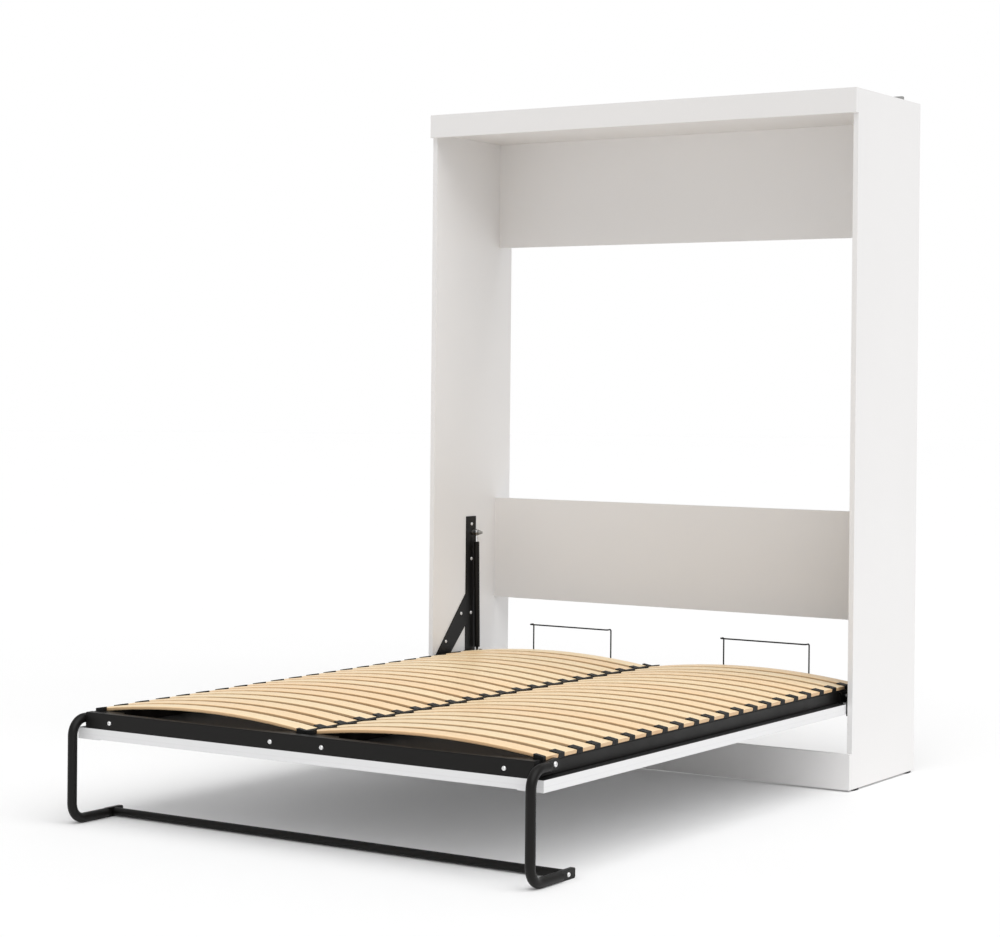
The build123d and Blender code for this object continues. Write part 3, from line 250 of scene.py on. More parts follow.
def board_skin_group():
    """Pressed melamine: fine pebble, faint fibre streaks and slow tonal drift."""
    name = "Board skin"
    if name in bpy.data.node_groups:
        return bpy.data.node_groups[name]
    group, given, result = effect_group(
        name,
        (("Vector", "NodeSocketVector", None), ("Pebble", "NodeSocketFloat", 900.0)),
        (("Height", "NodeSocketFloat"), ("Fibre", "NodeSocketFloat"), ("Drift", "NodeSocketFloat")),
    )
    place, pebble = given.outputs["Vector"], given.outputs["Pebble"]
    skin = noise(group, place, pebble, 3.0, 0.55)
    fibre = noise(group, stretched(group, place, (210.0, 210.0, 9.0)), 1.0, 3.0, 0.6)
    relief = maths(group, "ADD", skin, maths(group, "MULTIPLY", fibre, 0.5))
    feed(group, result.inputs["Height"], relief)
    feed(group, result.inputs["Fibre"], fibre)
    feed(group, result.inputs["Drift"], noise(group, place, 2.4, 3.0, 0.5))
    return group


def board_edge_group():
    """Marks the glue line of the edging that closes a board, from the board's low and high corners."""
    name = "Edging seam"
    if name in bpy.data.node_groups:
        return bpy.data.node_groups[name]
    group, given, result = effect_group(
        name,
        (
            ("Vector", "NodeSocketVector", None),
            ("Low", "NodeSocketVector", None),
            ("High", "NodeSocketVector", None),
            ("Inset", "NodeSocketFloat", 0.001),
            ("Width", "NodeSocketFloat", 0.0003),
        ),
        (("Seam", "NodeSocketFloat"),),
    )
    seams = []
    for corner in ("Low", "High"):
        apart = add_node(group, "ShaderNodeVectorMath", operation="SUBTRACT")
        feed(group, apart.inputs[0], given.outputs["Vector"])
        feed(group, apart.inputs[1], given.outputs[corner])
        split = add_node(group, "ShaderNodeSeparateXYZ")
        feed(group, split.inputs[0], apart.outputs[0])
        for axis in "YZ":
            distance = maths(group, "ABSOLUTE", split.outputs[axis])
            past_line = maths(group, "SUBTRACT", distance, given.outputs["Inset"])
            off_line = maths(group, "ABSOLUTE", past_line)
            seams.append(remap(group, off_line, 0.0, given.outputs["Width"], 1.0, 0.0))
    seam = seams[0]
    for other in seams[1:]:
        seam = maths(group, "MAXIMUM", seam, other)
    feed(group, result.inputs["Seam"], seam)
    return group


def birch_group():
    """Straight birch figure along X: pores, early and late wood, and a tone of each slat's own."""
    name = "Birch figure"
    if name in bpy.data.node_groups:
        return bpy.data.node_groups[name]
    group, given, result = effect_group(
        name,
        (
            ("Vector", "NodeSocketVector", None),
            ("First slat", "NodeSocketFloat", 0.0),
            ("Pitch", "NodeSocketFloat", 0.0928),
            ("Ply", "NodeSocketFloat", 0.0014),
            ("Ply height", "NodeSocketFloat", 0.0),
        ),
        (
            ("Figure", "NodeSocketFloat"),
            ("Pores", "NodeSocketFloat"),
            ("Own tone", "NodeSocketFloat"),
            ("Plies", "NodeSocketFloat"),
            ("Height", "NodeSocketFloat"),
        ),
    )
    place = given.outputs["Vector"]
    split = add_node(group, "ShaderNodeSeparateXYZ")
    feed(group, split.inputs[0], place)
    from_first = maths(group, "SUBTRACT", split.outputs["Y"], given.outputs["First slat"])
    index = maths(group, "ROUND", maths(group, "DIVIDE", from_first, given.outputs["Pitch"]))
    side = maths(group, "SIGN", split.outputs["X"])
    seed = maths(group, "ADD", index, maths(group, "MULTIPLY", side, 37.0))
    lot = add_node(group, "ShaderNodeTexWhiteNoise", noise_dimensions="1D")
    feed(group, lot.inputs["W"], seed)
    own = lot.outputs["Value"]
    shift = add_node(group, "ShaderNodeCombineXYZ")
    feed(group, shift.inputs["X"], maths(group, "MULTIPLY", own, 11.0))
    feed(group, shift.inputs["Z"], maths(group, "MULTIPLY", own, 5.0))
    moved = add_node(group, "ShaderNodeVectorMath", operation="ADD")
    feed(group, moved.inputs[0], place)
    feed(group, moved.inputs[1], shift.outputs[0])
    along = stretched(group, moved.outputs[0], (2.2, 60.0, 60.0))
    bands = add_node(group, "ShaderNodeTexNoise", noise_dimensions="3D")
    feed(group, bands.inputs["Vector"], along)
    feed(group, bands.inputs["Scale"], 1.6)
    feed(group, bands.inputs["Detail"], 5.0)
    feed(group, bands.inputs["Roughness"], 0.62)
    feed(group, bands.inputs["Distortion"], 0.5)
    pores = noise(group, stretched(group, moved.outputs[0], (55.0, 1500.0, 1500.0)), 1.0, 2.0, 0.6)
    pore_mask = remap(group, pores, 0.60, 0.72, 0.0, 1.0)
    layer = maths(group, "DIVIDE", given.outputs["Ply height"], given.outputs["Ply"])
    plies = maths(group, "PINGPONG", layer, 1.0)
    feed(group, result.inputs["Figure"], remap(group, bands.outputs["Fac"], 0.34, 0.68, 0.0, 1.0))
    feed(group, result.inputs["Pores"], pore_mask)
    feed(group, result.inputs["Own tone"], own)
    feed(group, result.inputs["Plies"], remap(group, plies, 0.35, 0.65, 0.0, 1.0))
    feed(group, result.inputs["Height"], maths(group, "SUBTRACT", bands.outputs["Fac"], pore_mask))
    return group


def plated_group():
    """Zinc or chrome plate: drawn streaks and faint clouding."""
    name = "Plated metal"
    if name in bpy.data.node_groups:
        return bpy.data.node_groups[name]
    group, given, result = effect_group(
        name,
        (("Vector", "NodeSocketVector", None), ("Scale", "NodeSocketFloat", 400.0)),
        (("Cloud", "NodeSocketFloat"), ("Height", "NodeSocketFloat")),
    )
    place, scale = given.outputs["Vector"], given.outputs["Scale"]
    streaks = noise(group, stretched(group, place, (1.0, 1.0, 6.0)), scale, 2.0, 0.5)
    feed(group, result.inputs["Cloud"], noise(group, place, 90.0, 4.0, 0.6))
    feed(group, result.inputs["Height"], streaks)
    return group


def place_group(tree, group, **values):
    """Places an effect group in a material with its own values."""
    made = add_node(tree, "ShaderNodeGroup", node_tree=group)
    for key, value in values.items():
        feed(tree, made.inputs[key.replace("_", " ")], value)
    return made


def new_finish(name, **shader_values):
    """A material with one Principled shader; returns the material, its tree, shader and Object coordinate."""
    finish = bpy.data.materials.new(name)
    finish.use_nodes = True
    tree = finish.node_tree
    shader = tree.nodes["Principled BSDF"]
    for key, value in shader_values.items():
        shader.inputs[key.replace("_", " ")].default_value = value
    coordinate = add_node(tree, "ShaderNodeTexCoord").outputs["Object"]
    return finish, tree, shader, coordinate


def bump(tree, shader, height, strength, distance):
    """Feeds a Bump node to a shader's Normal."""
    made = add_node(tree, "ShaderNodeBump")
    feed(tree, made.inputs["Height"], height)
    made.inputs["Strength"].default_value = strength
    made.inputs["Distance"].default_value = distance
    feed(tree, shader.inputs["Normal"], made.outputs["Normal"])


def up_part(tree, place):
    """How far a face of a piece at rest looks up, from -1 to 1."""
    split = add_node(tree, "ShaderNodeSeparateXYZ")
    feed(tree, split.inputs[0], place.node.outputs["Normal"])
    return split.outputs["Z"]


def shade(colour, factor):
    """A colour made darker or lighter, with full alpha."""
    return tuple(min(1.0, channel * factor) for channel in colour[:3]) + (1.0,)


# ---------------------------------------------------------------------------
# Finishes
# ---------------------------------------------------------------------------


def board_finish(name, colour, low, high, edging, dark_top=False):
    """White melamine-faced board whose edging seam follows the board between two corners.

    dark_top makes the upper face near-black, under the slats.
    """
    finish, tree, shader, place = new_finish(name, Roughness=0.5, Specular_IOR_Level=0.42)
    skin = place_group(tree, board_skin_group(), Vector=place, Pebble=950.0)
    seam = place_group(
        tree, board_edge_group(), Vector=place, Low=low, High=high, Inset=edging, Width=SEAM_WIDTH
    )
    drift = remap(tree, skin.outputs["Drift"], 0.3, 0.7, 0.0, 1.0)
    base = blend_colours(tree, drift, shade(colour, 0.985), shade(colour, 1.0))
    fibre = remap(tree, skin.outputs["Fibre"], 0.58, 0.75, 0.0, 0.15)
    base = blend_colours(tree, fibre, base, shade(colour, 0.965))
    seam_amount = maths(tree, "MULTIPLY", seam.outputs["Seam"], 0.6)
    base = blend_colours(tree, seam_amount, base, shade(colour, 0.72))
    # The upper face, under the slats, turns near-black.
    if dark_top:
        near_black_top = blend_colours(tree, drift, shade(colour, 0.012), shade(colour, 0.02))
        base = blend_colours(tree, remap(tree, up_part(tree, place), 0.5, 0.7, 0.0, 1.0), base, near_black_top)
    feed(tree, shader.inputs["Base Color"], base)
    feed(tree, shader.inputs["Roughness"], remap(tree, skin.outputs["Height"], 0.5, 1.0, 0.44, 0.56))
    bump(tree, shader, skin.outputs["Height"], 0.12, 0.05 * MM)
    return finish


def coated_finish(name, colour, gloss):
    """Black powder coat with orange peel, light speckle and drifting gloss."""
    finish, tree, shader, place = new_finish(name, Roughness=gloss, Specular_IOR_Level=0.2)
    coat = place_group(tree, powder_coat_group(), Vector=place, Grain=620.0)
    base = blend_colours(tree, coat.outputs["Drift"], shade(colour, 0.75), shade(colour, 1.3))
    speckle = maths(tree, "MULTIPLY", coat.outputs["Speckle"], 0.5)
    base = blend_colours(tree, speckle, base, shade(colour, 2.2))
    feed(tree, shader.inputs["Base Color"], base)
    rough = remap(tree, coat.outputs["Drift"], 0.3, 0.7, gloss - 0.05, gloss + 0.07)
    feed(tree, shader.inputs["Roughness"], rough)
    bump(tree, shader, coat.outputs["Height"], 0.35, 0.12 * MM)
    return finish


def plated_finish(name, colour, gloss, scale, metal=1.0):
    """Bright plated metal with clouded gloss and drawn streaks."""
    finish, tree, shader, place = new_finish(name, Metallic=metal, Roughness=gloss)
    plate = place_group(tree, plated_group(), Vector=place, Scale=scale)
    base = blend_colours(tree, plate.outputs["Cloud"], shade(colour, 0.86), shade(colour, 1.08))
    feed(tree, shader.inputs["Base Color"], base)
    rough = remap(tree, plate.outputs["Cloud"], 0.3, 0.7, gloss - 0.06, gloss + 0.08)
    feed(tree, shader.inputs["Roughness"], rough)
    bump(tree, shader, plate.outputs["Height"], 0.2, 0.03 * MM)
    return finish


def moulded_finish(name, colour, gloss, grain):
    """Moulded plastic with a fine spark-eroded texture."""
    finish, tree, shader, place = new_finish(name, Roughness=gloss, Specular_IOR_Level=0.2)
    coat = place_group(tree, powder_coat_group(), Vector=place, Grain=grain)
    base = blend_colours(tree, coat.outputs["Drift"], shade(colour, 0.8), shade(colour, 1.25))
    feed(tree, shader.inputs["Base Color"], base)
    rough = remap(tree, coat.outputs["Drift"], 0.3, 0.7, gloss, gloss + 0.1)
    feed(tree, shader.inputs["Roughness"], rough)
    bump(tree, shader, coat.outputs["Height"], 0.3, 0.08 * MM)
    return finish


def birch_finish(name, looks, node):
    """Lacquered birch lamination; its plies show on the slats' long sides and ends."""
    low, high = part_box(node)
    half_length = (high.x - low.x) / 2
    middle = (high.x + low.x) / 2
    first = low.y + looks.slat_width / 2
    crown = high.z - low.z - looks.slat_thickness
    finish, tree, shader, place = new_finish(
        name, Roughness=0.42, Specular_IOR_Level=0.45, Coat_Roughness=0.3, Coat_IOR=1.5
    )
    split = add_node(tree, "ShaderNodeSeparateXYZ")
    feed(tree, split.inputs[0], place)
    share = maths(tree, "DIVIDE", maths(tree, "SUBTRACT", split.outputs["X"], middle), half_length)
    drop = maths(tree, "MULTIPLY", maths(tree, "MULTIPLY", share, share), crown)
    from_top = maths(tree, "SUBTRACT", high.z, maths(tree, "ADD", split.outputs["Z"], drop))
    birch = place_group(
        tree,
        birch_group(),
        Vector=place,
        First_slat=first,
        Pitch=looks.slat_pitch,
        Ply=looks.slat_thickness / SLAT_PLIES,
        Ply_height=from_top,
    )
    colour = looks.wood_colour
    light, dark = shade(colour, 1.06), (colour[0] * 0.94, colour[1] * 0.83, colour[2] * 0.73, 1.0)
    base = blend_colours(tree, maths(tree, "MULTIPLY", birch.outputs["Figure"], 0.55), light, dark)
    warm = (colour[0] * 0.99, colour[1] * 0.86, colour[2] * 0.74, 1.0)
    base = blend_colours(tree, maths(tree, "MULTIPLY", birch.outputs["Own tone"], 0.65), base, warm)
    pore_colour = (colour[0] * 0.68, colour[1] * 0.55, colour[2] * 0.42, 1.0)
    base = blend_colours(tree, maths(tree, "MULTIPLY", birch.outputs["Pores"], 0.4), base, pore_colour)
    side_face = remap(tree, maths(tree, "ABSOLUTE", up_part(tree, place)), 0.45, 0.75, 1.0, 0.0)
    glue = (colour[0] * 0.55, colour[1] * 0.38, colour[2] * 0.25, 1.0)
    on_side = maths(tree, "MULTIPLY", side_face, remap(tree, birch.outputs["Plies"], 0.0, 1.0, 0.35, 0.8))
    base = blend_colours(tree, on_side, base, glue)
    feed(tree, shader.inputs["Base Color"], base)
    feed(tree, shader.inputs["Roughness"], remap(tree, birch.outputs["Figure"], 0.0, 1.0, 0.36, 0.5))
    feed(tree, shader.inputs["Coat Weight"], remap(tree, birch.outputs["Pores"], 0.0, 1.0, 0.3, 0.1))
    bump(tree, shader, birch.outputs["Height"], 0.25, 0.06 * MM)
    return finish


def floor_finish(colour):
    """A matt, nearly even studio floor."""
    finish, tree, shader, place = new_finish("Studio floor", Roughness=0.75, Specular_IOR_Level=0.2)
    drift = noise(tree, place, 1.3, 2.0, 0.5)
    base = blend_colours(tree, drift, shade(colour, 0.985), shade(colour, 1))
    feed(tree, shader.inputs["Base Color"], base)
    return finish


def dress(names, finish):
    """Gives CAD nodes a finish in their material slots."""
    for name in names:
        mesh = NODES[name].data
        mesh.materials.clear()
        mesh.materials.append(finish)


# ---------------------------------------------------------------------------
# Mesh helpers for new pieces
# ---------------------------------------------------------------------------


def solids_of(node):
    """The low and high corner of each separate solid in a CAD node, from a merged copy of its mesh."""
    copy = bmesh.new()
    copy.from_mesh(NODES[node].data)
    bmesh.ops.remove_doubles(copy, verts=copy.verts, dist=MERGE_DISTANCE)
    waiting, boxes = set(copy.verts), []
    while waiting:
        start = waiting.pop()
        island, edge_of_island = [start], [start]
        while edge_of_island:
            vert = edge_of_island.pop()
            for edge in vert.link_edges:
                other = edge.other_vert(vert)
                if other in waiting:
                    waiting.remove(other)
                    island.append(other)
                    edge_of_island.append(other)
        low = Vector([min(v.co[axis] for v in island) for axis in range(3)])
        high = Vector([max(v.co[axis] for v in island) for axis in range(3)])
        boxes.append((low, high))
    copy.free()
    return sorted(boxes, key=lambda box: (round(box[0].x, 4), round(box[0].y, 4), round(box[0].z, 4)))


def ring_reach(angle, sides):
    """How far a ring's outline lies from its centre: a circle, a hexagon or a cross."""
    if sides == 6:
        sector = math.pi / 3
        return math.cos(sector / 2) / math.cos((angle % sector) - sector / 2)
    if sides == 4:
        quarter = math.pi / 2
        from_arm = abs((angle + quarter / 2) % quarter - quarter / 2)
        return min(1 / math.cos(from_arm), CROSS_ARM / max(math.sin(from_arm), SMALLEST_SINE))
    return 1.0


def turned(rings, segments):
    """A closed shape along +Z from rings of (radius, height, sides), each extruded from the last."""
    shape = bmesh.new()
    first = bmesh.ops.create_circle(shape, cap_ends=False, segments=segments, radius=1.0)["verts"]
    angles = [math.atan2(v.co.y, v.co.x) for v in first]
    edges = list(shape.edges)

    def settle(verts, radius, height, sides):
        for vert, angle in zip(verts, angles):
            reach = radius * ring_reach(angle, sides)
            vert.co = Vector((reach * math.cos(angle), reach * math.sin(angle), height))

    settle(first, *rings[0])
    bmesh.ops.holes_fill(shape, edges=edges, sides=0)
    ring_edges = edges
    for radius, height, sides in rings[1:]:
        out = bmesh.ops.extrude_edge_only(shape, edges=ring_edges)["geom"]
        ring_edges = [g for g in out if isinstance(g, bmesh.types.BMEdge)]
        new_verts = [g for g in out if isinstance(g, bmesh.types.BMVert)]
        new_verts.sort(key=lambda v: math.atan2(v.co.y, v.co.x))
        order = sorted(range(segments), key=lambda i: angles[i])
        placed = [None] * segments
        for vert, i in zip(new_verts, order):
            placed[i] = vert
        settle(placed, radius, height, sides)
    bmesh.ops.holes_fill(shape, edges=ring_edges, sides=0)
    bmesh.ops.recalc_face_normals(shape, faces=shape.faces)
    return shape


def aim(centre, direction):
    """A matrix that takes +Z at the origin to a direction at a centre."""
    turn = Vector((0, 0, 1)).rotation_difference(Vector(direction)).to_matrix().to_4x4()
    return Matrix.Translation(centre) @ turn


def gather(parts):
    """One bmesh from several, each moved by its matrix."""
    whole = bmesh.new()
    for shape, matrix in parts:
        bmesh.ops.transform(shape, matrix=matrix, verts=shape.verts)
        mesh = bpy.data.meshes.new("part")
        shape.to_mesh(mesh)
        shape.free()
        whole.from_mesh(mesh)
        bpy.data.meshes.remove(mesh)
    return whole


def finish_piece(name, shape, material, body, replaced=()):
    """Writes a bmesh to a new piece that rides on a body, with its finish and slot."""
    mesh = bpy.data.meshes.new(name)
    for edge in shape.edges:
        edge.smooth = len(edge.link_faces) == 2 and edge.calc_face_angle(0.0) < SMOOTH_BELOW
    for face in shape.faces:
        face.smooth = True
    shape.to_mesh(mesh)
    shape.free()
    mesh.materials.append(material)
    piece = bpy.data.objects.new(name, mesh)
    bpy.context.scene.collection.objects.link(piece)
    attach(piece, body)
    if replaced:
        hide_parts(*replaced)
    return piece


def bolt_rings(shank, shank_end, head, tall, socket, sides):
    """Rings of a bolt: shank from its end to the seat at 0, then a domed head with a driver recess."""
    return (
        (shank * 0.8, -shank_end, 0),
        (shank, -shank_end + shank * 0.3, 0),
        (shank, 0.0, 0),
        (head * 0.98, 0.0, 0),
        (head, tall * 0.12, 0),
        (head * 0.985, tall * 0.35, 0),
        (head * 0.9, tall * 0.66, 0),
        (head * 0.76, tall * 0.88, 0),
        (head * 0.6, tall, 0),
        (socket * 1.06, tall, sides),
        (socket, tall * 0.94, sides),
        (socket, tall * 0.35, sides),
        (socket * 0.45, tall * 0.25, sides),
    )


def collar(radius, height, sides):
    """A nut or a washer with eased rims, from 0 up to its height."""
    ease = height * COLLAR_EASE
    rings = (
        (radius - ease, 0.0, sides),
        (radius, ease, sides),
        (radius, height - ease, sides),
        (radius - ease, height, sides),
    )
    return turned(rings, COLLAR_SEGMENTS)


def bolts_for(node, axis, outward, tall, shank, drive, collars=()):
    """Replaces each bolt solid of a node by one with a domed head and a driver recess.

    axis is 0, 1 or 2; outward is the head's way along it for a solid on the positive side.
    collars are nuts and washers on a bolt along X: inner and outer distance from the middle
    plane, radius and sides.
    """
    parts = []
    for low, high in solids_of(node):
        centre = (low + high) / 2
        sign = outward if axis == 1 or centre[axis] > 0 else -outward
        across = [i for i in range(3) if i != axis]
        head = min(high[i] - low[i] for i in across) / 2
        tip, tail = (high[axis], low[axis]) if sign > 0 else (low[axis], high[axis])
        seat = centre.copy()
        seat[axis] = tip - sign * tall
        way = [0.0, 0.0, 0.0]
        way[axis] = sign
        socket = head * (HEX_SOCKET if drive == 6 else CROSS_SOCKET)
        rings = bolt_rings(shank, abs(seat[axis] - tail), head, tall, socket, drive)
        segments = CROSS_SEGMENTS if drive == 4 else HEX_SEGMENTS
        parts.append((turned(rings, segments), aim(seat, way)))
        for inner, outer, radius, sides in collars:
            side = math.copysign(1.0, centre.x)
            foot = Vector((side * inner, centre.y, centre.z))
            parts.append((collar(radius, outer - inner, sides), aim(foot, (side, 0.0, 0.0))))
    return gather(parts)


def box_shape(low, high, rounding):
    """A block between two corners with rounded edges."""
    shape = bmesh.new()
    bmesh.ops.create_cube(shape, size=1.0)
    size, centre = high - low, (high + low) / 2
    bmesh.ops.scale(shape, vec=size, verts=shape.verts)
    bmesh.ops.translate(shape, vec=centre, verts=shape.verts)
    bmesh.ops.bevel(
        shape,
        geom=list(shape.edges),
        offset=rounding,
        offset_type="OFFSET",
        segments=EDGE_SEGMENTS,
        profile=0.5,
        affect="EDGES",
        material=-1,
    )
    return shape


# ---------------------------------------------------------------------------
# Properties
# ---------------------------------------------------------------------------


def colour_property(name, description, default):
    """A linear colour swatch."""
    return FloatVectorProperty(
        name=name, description=description, default=default, subtype="COLOR", size=3, min=0.0, max=1.0
    )


def length_property(name, description, default):
    """A length in metres."""
    return FloatProperty(name=name, description=description, default=default, unit="LENGTH", min=0.0)


class WallBedLooks(PropertyGroup):
    """Colours and small sizes of the bed's finishes."""

    board_colour: colour_property("Board", "Cabinet boards", (0.81, 0.80, 0.795))
    face_colour: colour_property("Face", "Face panel under the bed", (0.78, 0.78, 0.785))
    steel_colour: colour_property("Steel", "Coated steel frame", (0.006, 0.0055, 0.005))
    plastic_colour: colour_property("Plastic", "Slat holders and caps", (0.008, 0.008, 0.008))
    wood_colour: colour_property("Slats", "Birch slats", (1.0, 0.775, 0.495))
    zinc_colour: colour_property("Zinc", "Plated fittings", (0.56, 0.56, 0.55))
    bolt_colour: colour_property("Bolts", "Bright bolt and screw heads", (0.9, 0.9, 0.9))
    slat_width: length_property("Slat width", "Width of one slat", 62 * MM)
    slat_thickness: length_property("Slat thickness", "Thickness of one slat", 10 * MM)
    slat_pitch: length_property("Slat pitch", "From one slat's middle to the next", 92.8 * MM)
    edging: length_property("Edging", "Thickness of the boards' edging", 1.0 * MM)


class WallBedStage(PropertyGroup):
    """Floor, light and camera."""

    floor_colour: colour_property("Floor", "Studio floor", (0.94, 0.94, 0.94))
    backdrop_strength: FloatProperty(
        name="Backdrop", description="White seen behind", default=1.0, min=0.0
    )
    sky_strength: FloatProperty(
        name="Sky", description="Even light from all round", default=0.58, min=0.0
    )
    key_strength: FloatProperty(
        name="Key", description="Broad soft light from above, front and right", default=1.98, min=0.0
    )
    key_way: FloatVectorProperty(
        name="Key from",
        description="Where the broad light comes from",
        default=(0.24, -0.13, 0.42),
        subtype="DIRECTION",
    )
    key_softness: FloatProperty(
        name="Key softness", description="How wide the light is in the sky", default=1.2, subtype="ANGLE"
    )
    camera_place: FloatVectorProperty(
        name="Camera",
        description="Where the camera stands",
        default=(3.9858, -6.2592, 1.2774),
        subtype="TRANSLATION",
    )
    camera_yaw: FloatProperty(
        name="Yaw", description="Turn about Z", default=0.57547, subtype="ANGLE"
    )
    camera_pitch: FloatProperty(
        name="Pitch", description="Downward tilt", default=0.00702, subtype="ANGLE"
    )
    camera_roll: FloatProperty(
        name="Roll", description="Roll about the view", default=0.00952, subtype="ANGLE"
    )
    camera_lens: FloatProperty(
        name="Lens", description="Focal length on a 36 mm sensor", default=85.04, min=1.0, unit="CAMERA"
    )


# ---------------------------------------------------------------------------
# Operators
# ---------------------------------------------------------------------------


class WALLBED_OT_boards(Operator):
    """Finish the cabinet's boards and the face panel in white melamine"""

    bl_idname = "wallbed.boards"
    bl_label = "Boards"

    def execute(self, context):
        looks = context.scene.wallbed_looks
        for names, colour in ((CABINET_BOARDS, looks.board_colour), (FACE_BOARDS, looks.face_colour)):
            for name in names:
                low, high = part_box(name)
                title = name.replace("_", " ").capitalize() + " melamine"
                dark_top = name == "face_panel"
                dress([name], board_finish(title, colour, low, high, looks.edging, dark_top))
        return {"FINISHED"}


class WALLBED_OT_slats(Operator):
    """Finish the slats in lacquered birch lamination"""

    bl_idname = "wallbed.slats"
    bl_label = "Slats"

    def execute(self, context):
        looks = context.scene.wallbed_looks
        for side in SIDES:
            node = f"slats_{side}"
            dress([node], birch_finish(f"Birch {side}", looks, node))
        return {"FINISHED"}


class WALLBED_OT_steel(Operator):
    """Finish the bed frame, brackets, legs and gas springs"""

    bl_idname = "wallbed.steel"
    bl_label = "Steel frame"

    def execute(self, context):
        looks = context.scene.wallbed_looks
        dress(COATED_STEEL, coated_finish("Black powder coat", looks.steel_colour, 0.4))
        dress(ZINC_PARTS, plated_finish("Zinc plate", looks.zinc_colour, 0.34, 350.0))
        rods = [f"gas_rod_{side}" for side in SIDES]
        dress(rods, plated_finish("Chromed rod", ROD_COLOUR, 0.14, 900.0))
        return {"FINISHED"}


class WALLBED_OT_plastic(Operator):
    """Finish the slat holders, pivot bushes and glides in black plastic"""

    bl_idname = "wallbed.plastic"
    bl_label = "Plastic fittings"

    def execute(self, context):
        looks = context.scene.wallbed_looks
        dress(HOLDERS, moulded_finish("Holder plastic", looks.plastic_colour, 0.42, 800.0))
        others = ["levelling_glides", "pivot_bush_left", "pivot_bush_right"]
        dress(others, moulded_finish("Glide plastic", looks.plastic_colour, 0.5, 600.0))
        return {"FINISHED"}


class WALLBED_OT_bolts(Operator):
    """Make the bolts and screws with domed heads and driver recesses"""

    bl_idname = "wallbed.bolts"
    bl_label = "Bolts and screws"

    def execute(self, context):
        looks = context.scene.wallbed_looks
        bright = plated_finish("Bright plate", looks.bolt_colour, 0.3, 500.0, 0.6)
        for node, axis, outward, tall, shank, drive, body, collars in BOLT_KINDS:
            shape = bolts_for(node, axis, outward, tall, shank, drive, collars)
            if not shape.faces:
                raise RuntimeError(f"no bolt was made for {node}")
            finish_piece(f"{node}_domed", shape, bright, body, replaced=(node,))
        return {"FINISHED"}


class WALLBED_OT_caps(Operator):
    """Plug the open ends of the frame's tubes with black plastic caps"""

    bl_idname = "wallbed.caps"
    bl_label = "Tube end caps"

    def execute(self, context):
        looks = context.scene.wallbed_looks
        plastic = moulded_finish("Cap plastic", looks.plastic_colour, 0.45, 700.0)
        parts = []
        for name in ("side_rail_left", "side_rail_right"):
            low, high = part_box(name)
            inner_low = Vector((low.x + TUBE_WALL, high.y - CAP_DEPTH, low.z + TUBE_WALL))
            inner_high = Vector((high.x - TUBE_WALL, high.y - CAP_INSET, high.z - TUBE_WALL))
            parts.append((box_shape(inner_low, inner_high, CAP_ROUNDING), Matrix()))
        low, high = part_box("foot_rail")
        for start, end in (
            (low.x + CAP_INSET, low.x + CAP_DEPTH),
            (high.x - CAP_DEPTH, high.x - CAP_INSET),
        ):
            inner_low = Vector((start, low.y + TUBE_WALL, low.z + TUBE_WALL))
            inner_high = Vector((end, high.y - TUBE_WALL, high.z - TUBE_WALL))
            parts.append((box_shape(inner_low, inner_high, CAP_ROUNDING), Matrix()))
        finish_piece("tube_end_caps", gather(parts), plastic, "bed")
        return {"FINISHED"}


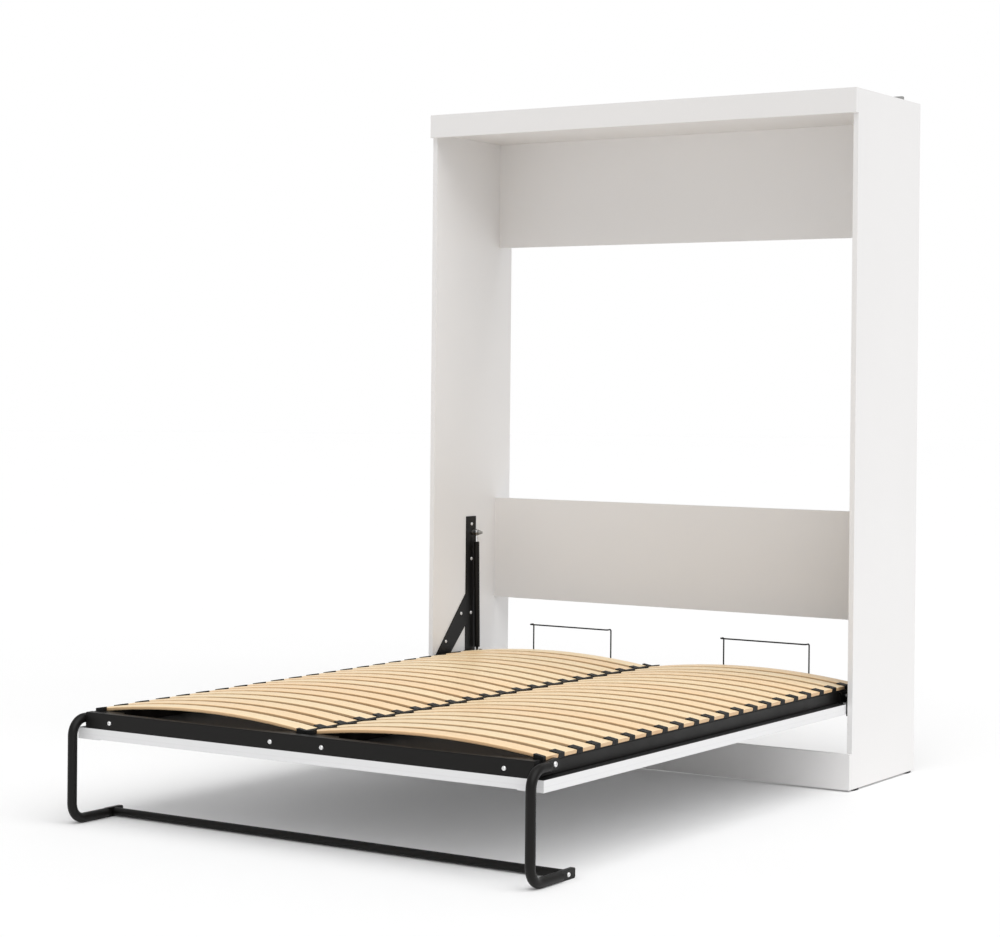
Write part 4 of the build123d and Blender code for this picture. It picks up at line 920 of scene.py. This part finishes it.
class WALLBED_OT_stage(Operator):
    """Set the floor, the soft light and the camera"""

    bl_idname = "wallbed.stage"
    bl_label = "Stage"

    def execute(self, context):
        scene, stage = context.scene, context.scene.wallbed_stage
        shape = bmesh.new()
        bmesh.ops.create_circle(shape, cap_ends=True, segments=FLOOR_SEGMENTS, radius=FLOOR_RADIUS)
        mesh = bpy.data.meshes.new("studio_floor")
        shape.to_mesh(mesh)
        shape.free()
        mesh.materials.append(floor_finish(stage.floor_colour))
        floor = bpy.data.objects.new("studio_floor", mesh)
        scene.collection.objects.link(floor)

        world = bpy.data.worlds.new("Studio")
        world.use_nodes = True
        background = world.node_tree.nodes["Background"]
        background.inputs["Color"].default_value = (1.0, 1.0, 1.0, 1.0)
        seen = add_node(world.node_tree, "ShaderNodeLightPath").outputs["Is Camera Ray"]
        strength = remap(world.node_tree, seen, 0.0, 1.0, stage.sky_strength, stage.backdrop_strength)
        feed(world.node_tree, background.inputs["Strength"], strength)
        scene.world = world
        scene.view_settings.view_transform = "Standard"

        light = bpy.data.lights.new("key", "SUN")
        light.energy = stage.key_strength
        light.angle = stage.key_softness
        key = bpy.data.objects.new("key", light)
        key.matrix_world = Vector(stage.key_way).to_track_quat("Z", "Y").to_matrix().to_4x4()
        scene.collection.objects.link(key)

        eye = bpy.data.cameras.new("camera")
        eye.sensor_width, eye.lens = SENSOR_WIDTH, stage.camera_lens
        eye.shift_x, eye.shift_y = LENS_SHIFT
        camera = bpy.data.objects.new("camera", eye)
        camera.matrix_world = (
            Matrix.Translation(stage.camera_place)
            @ Matrix.Rotation(stage.camera_yaw, 4, "Z")
            @ Matrix.Rotation(math.pi / 2 - stage.camera_pitch, 4, "X")
            @ Matrix.Rotation(stage.camera_roll, 4, "Z")
        )
        scene.collection.objects.link(camera)
        scene.camera = camera
        return {"FINISHED"}


OPERATORS = (
    WALLBED_OT_boards,
    WALLBED_OT_slats,
    WALLBED_OT_steel,
    WALLBED_OT_plastic,
    WALLBED_OT_bolts,
    WALLBED_OT_caps,
    WALLBED_OT_stage,
)


class WALLBED_PT_build(Panel):
    """Lists the steps that dress the bed"""

    bl_idname = "WALLBED_PT_build"
    bl_label = "Wall Bed"
    bl_space_type = "VIEW_3D"
    bl_region_type = "UI"
    bl_category = "Wall Bed"

    def draw(self, context):
        layout = self.layout
        for settings in (context.scene.wallbed_looks, context.scene.wallbed_stage):
            column = layout.column(align=True)
            for key in settings.__annotations__:
                column.prop(settings, key)
        for operator in OPERATORS:
            layout.operator(operator.bl_idname)


CLASSES = (WallBedLooks, WallBedStage, *OPERATORS, WALLBED_PT_build)


def register():
    for cls in CLASSES:
        bpy.utils.register_class(cls)
    bpy.types.Scene.wallbed_looks = PointerProperty(type=WallBedLooks)
    bpy.types.Scene.wallbed_stage = PointerProperty(type=WallBedStage)


def unregister():
    del bpy.types.Scene.wallbed_stage
    del bpy.types.Scene.wallbed_looks
    for cls in reversed(CLASSES):
        bpy.utils.unregister_class(cls)


def main():
    """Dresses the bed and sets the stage."""
    register()
    bpy.ops.wallbed.boards()
    bpy.ops.wallbed.slats()
    bpy.ops.wallbed.steel()
    bpy.ops.wallbed.plastic()
    bpy.ops.wallbed.bolts()
    bpy.ops.wallbed.caps()
    bpy.ops.wallbed.stage()


if __name__ == "__main__":
    main()
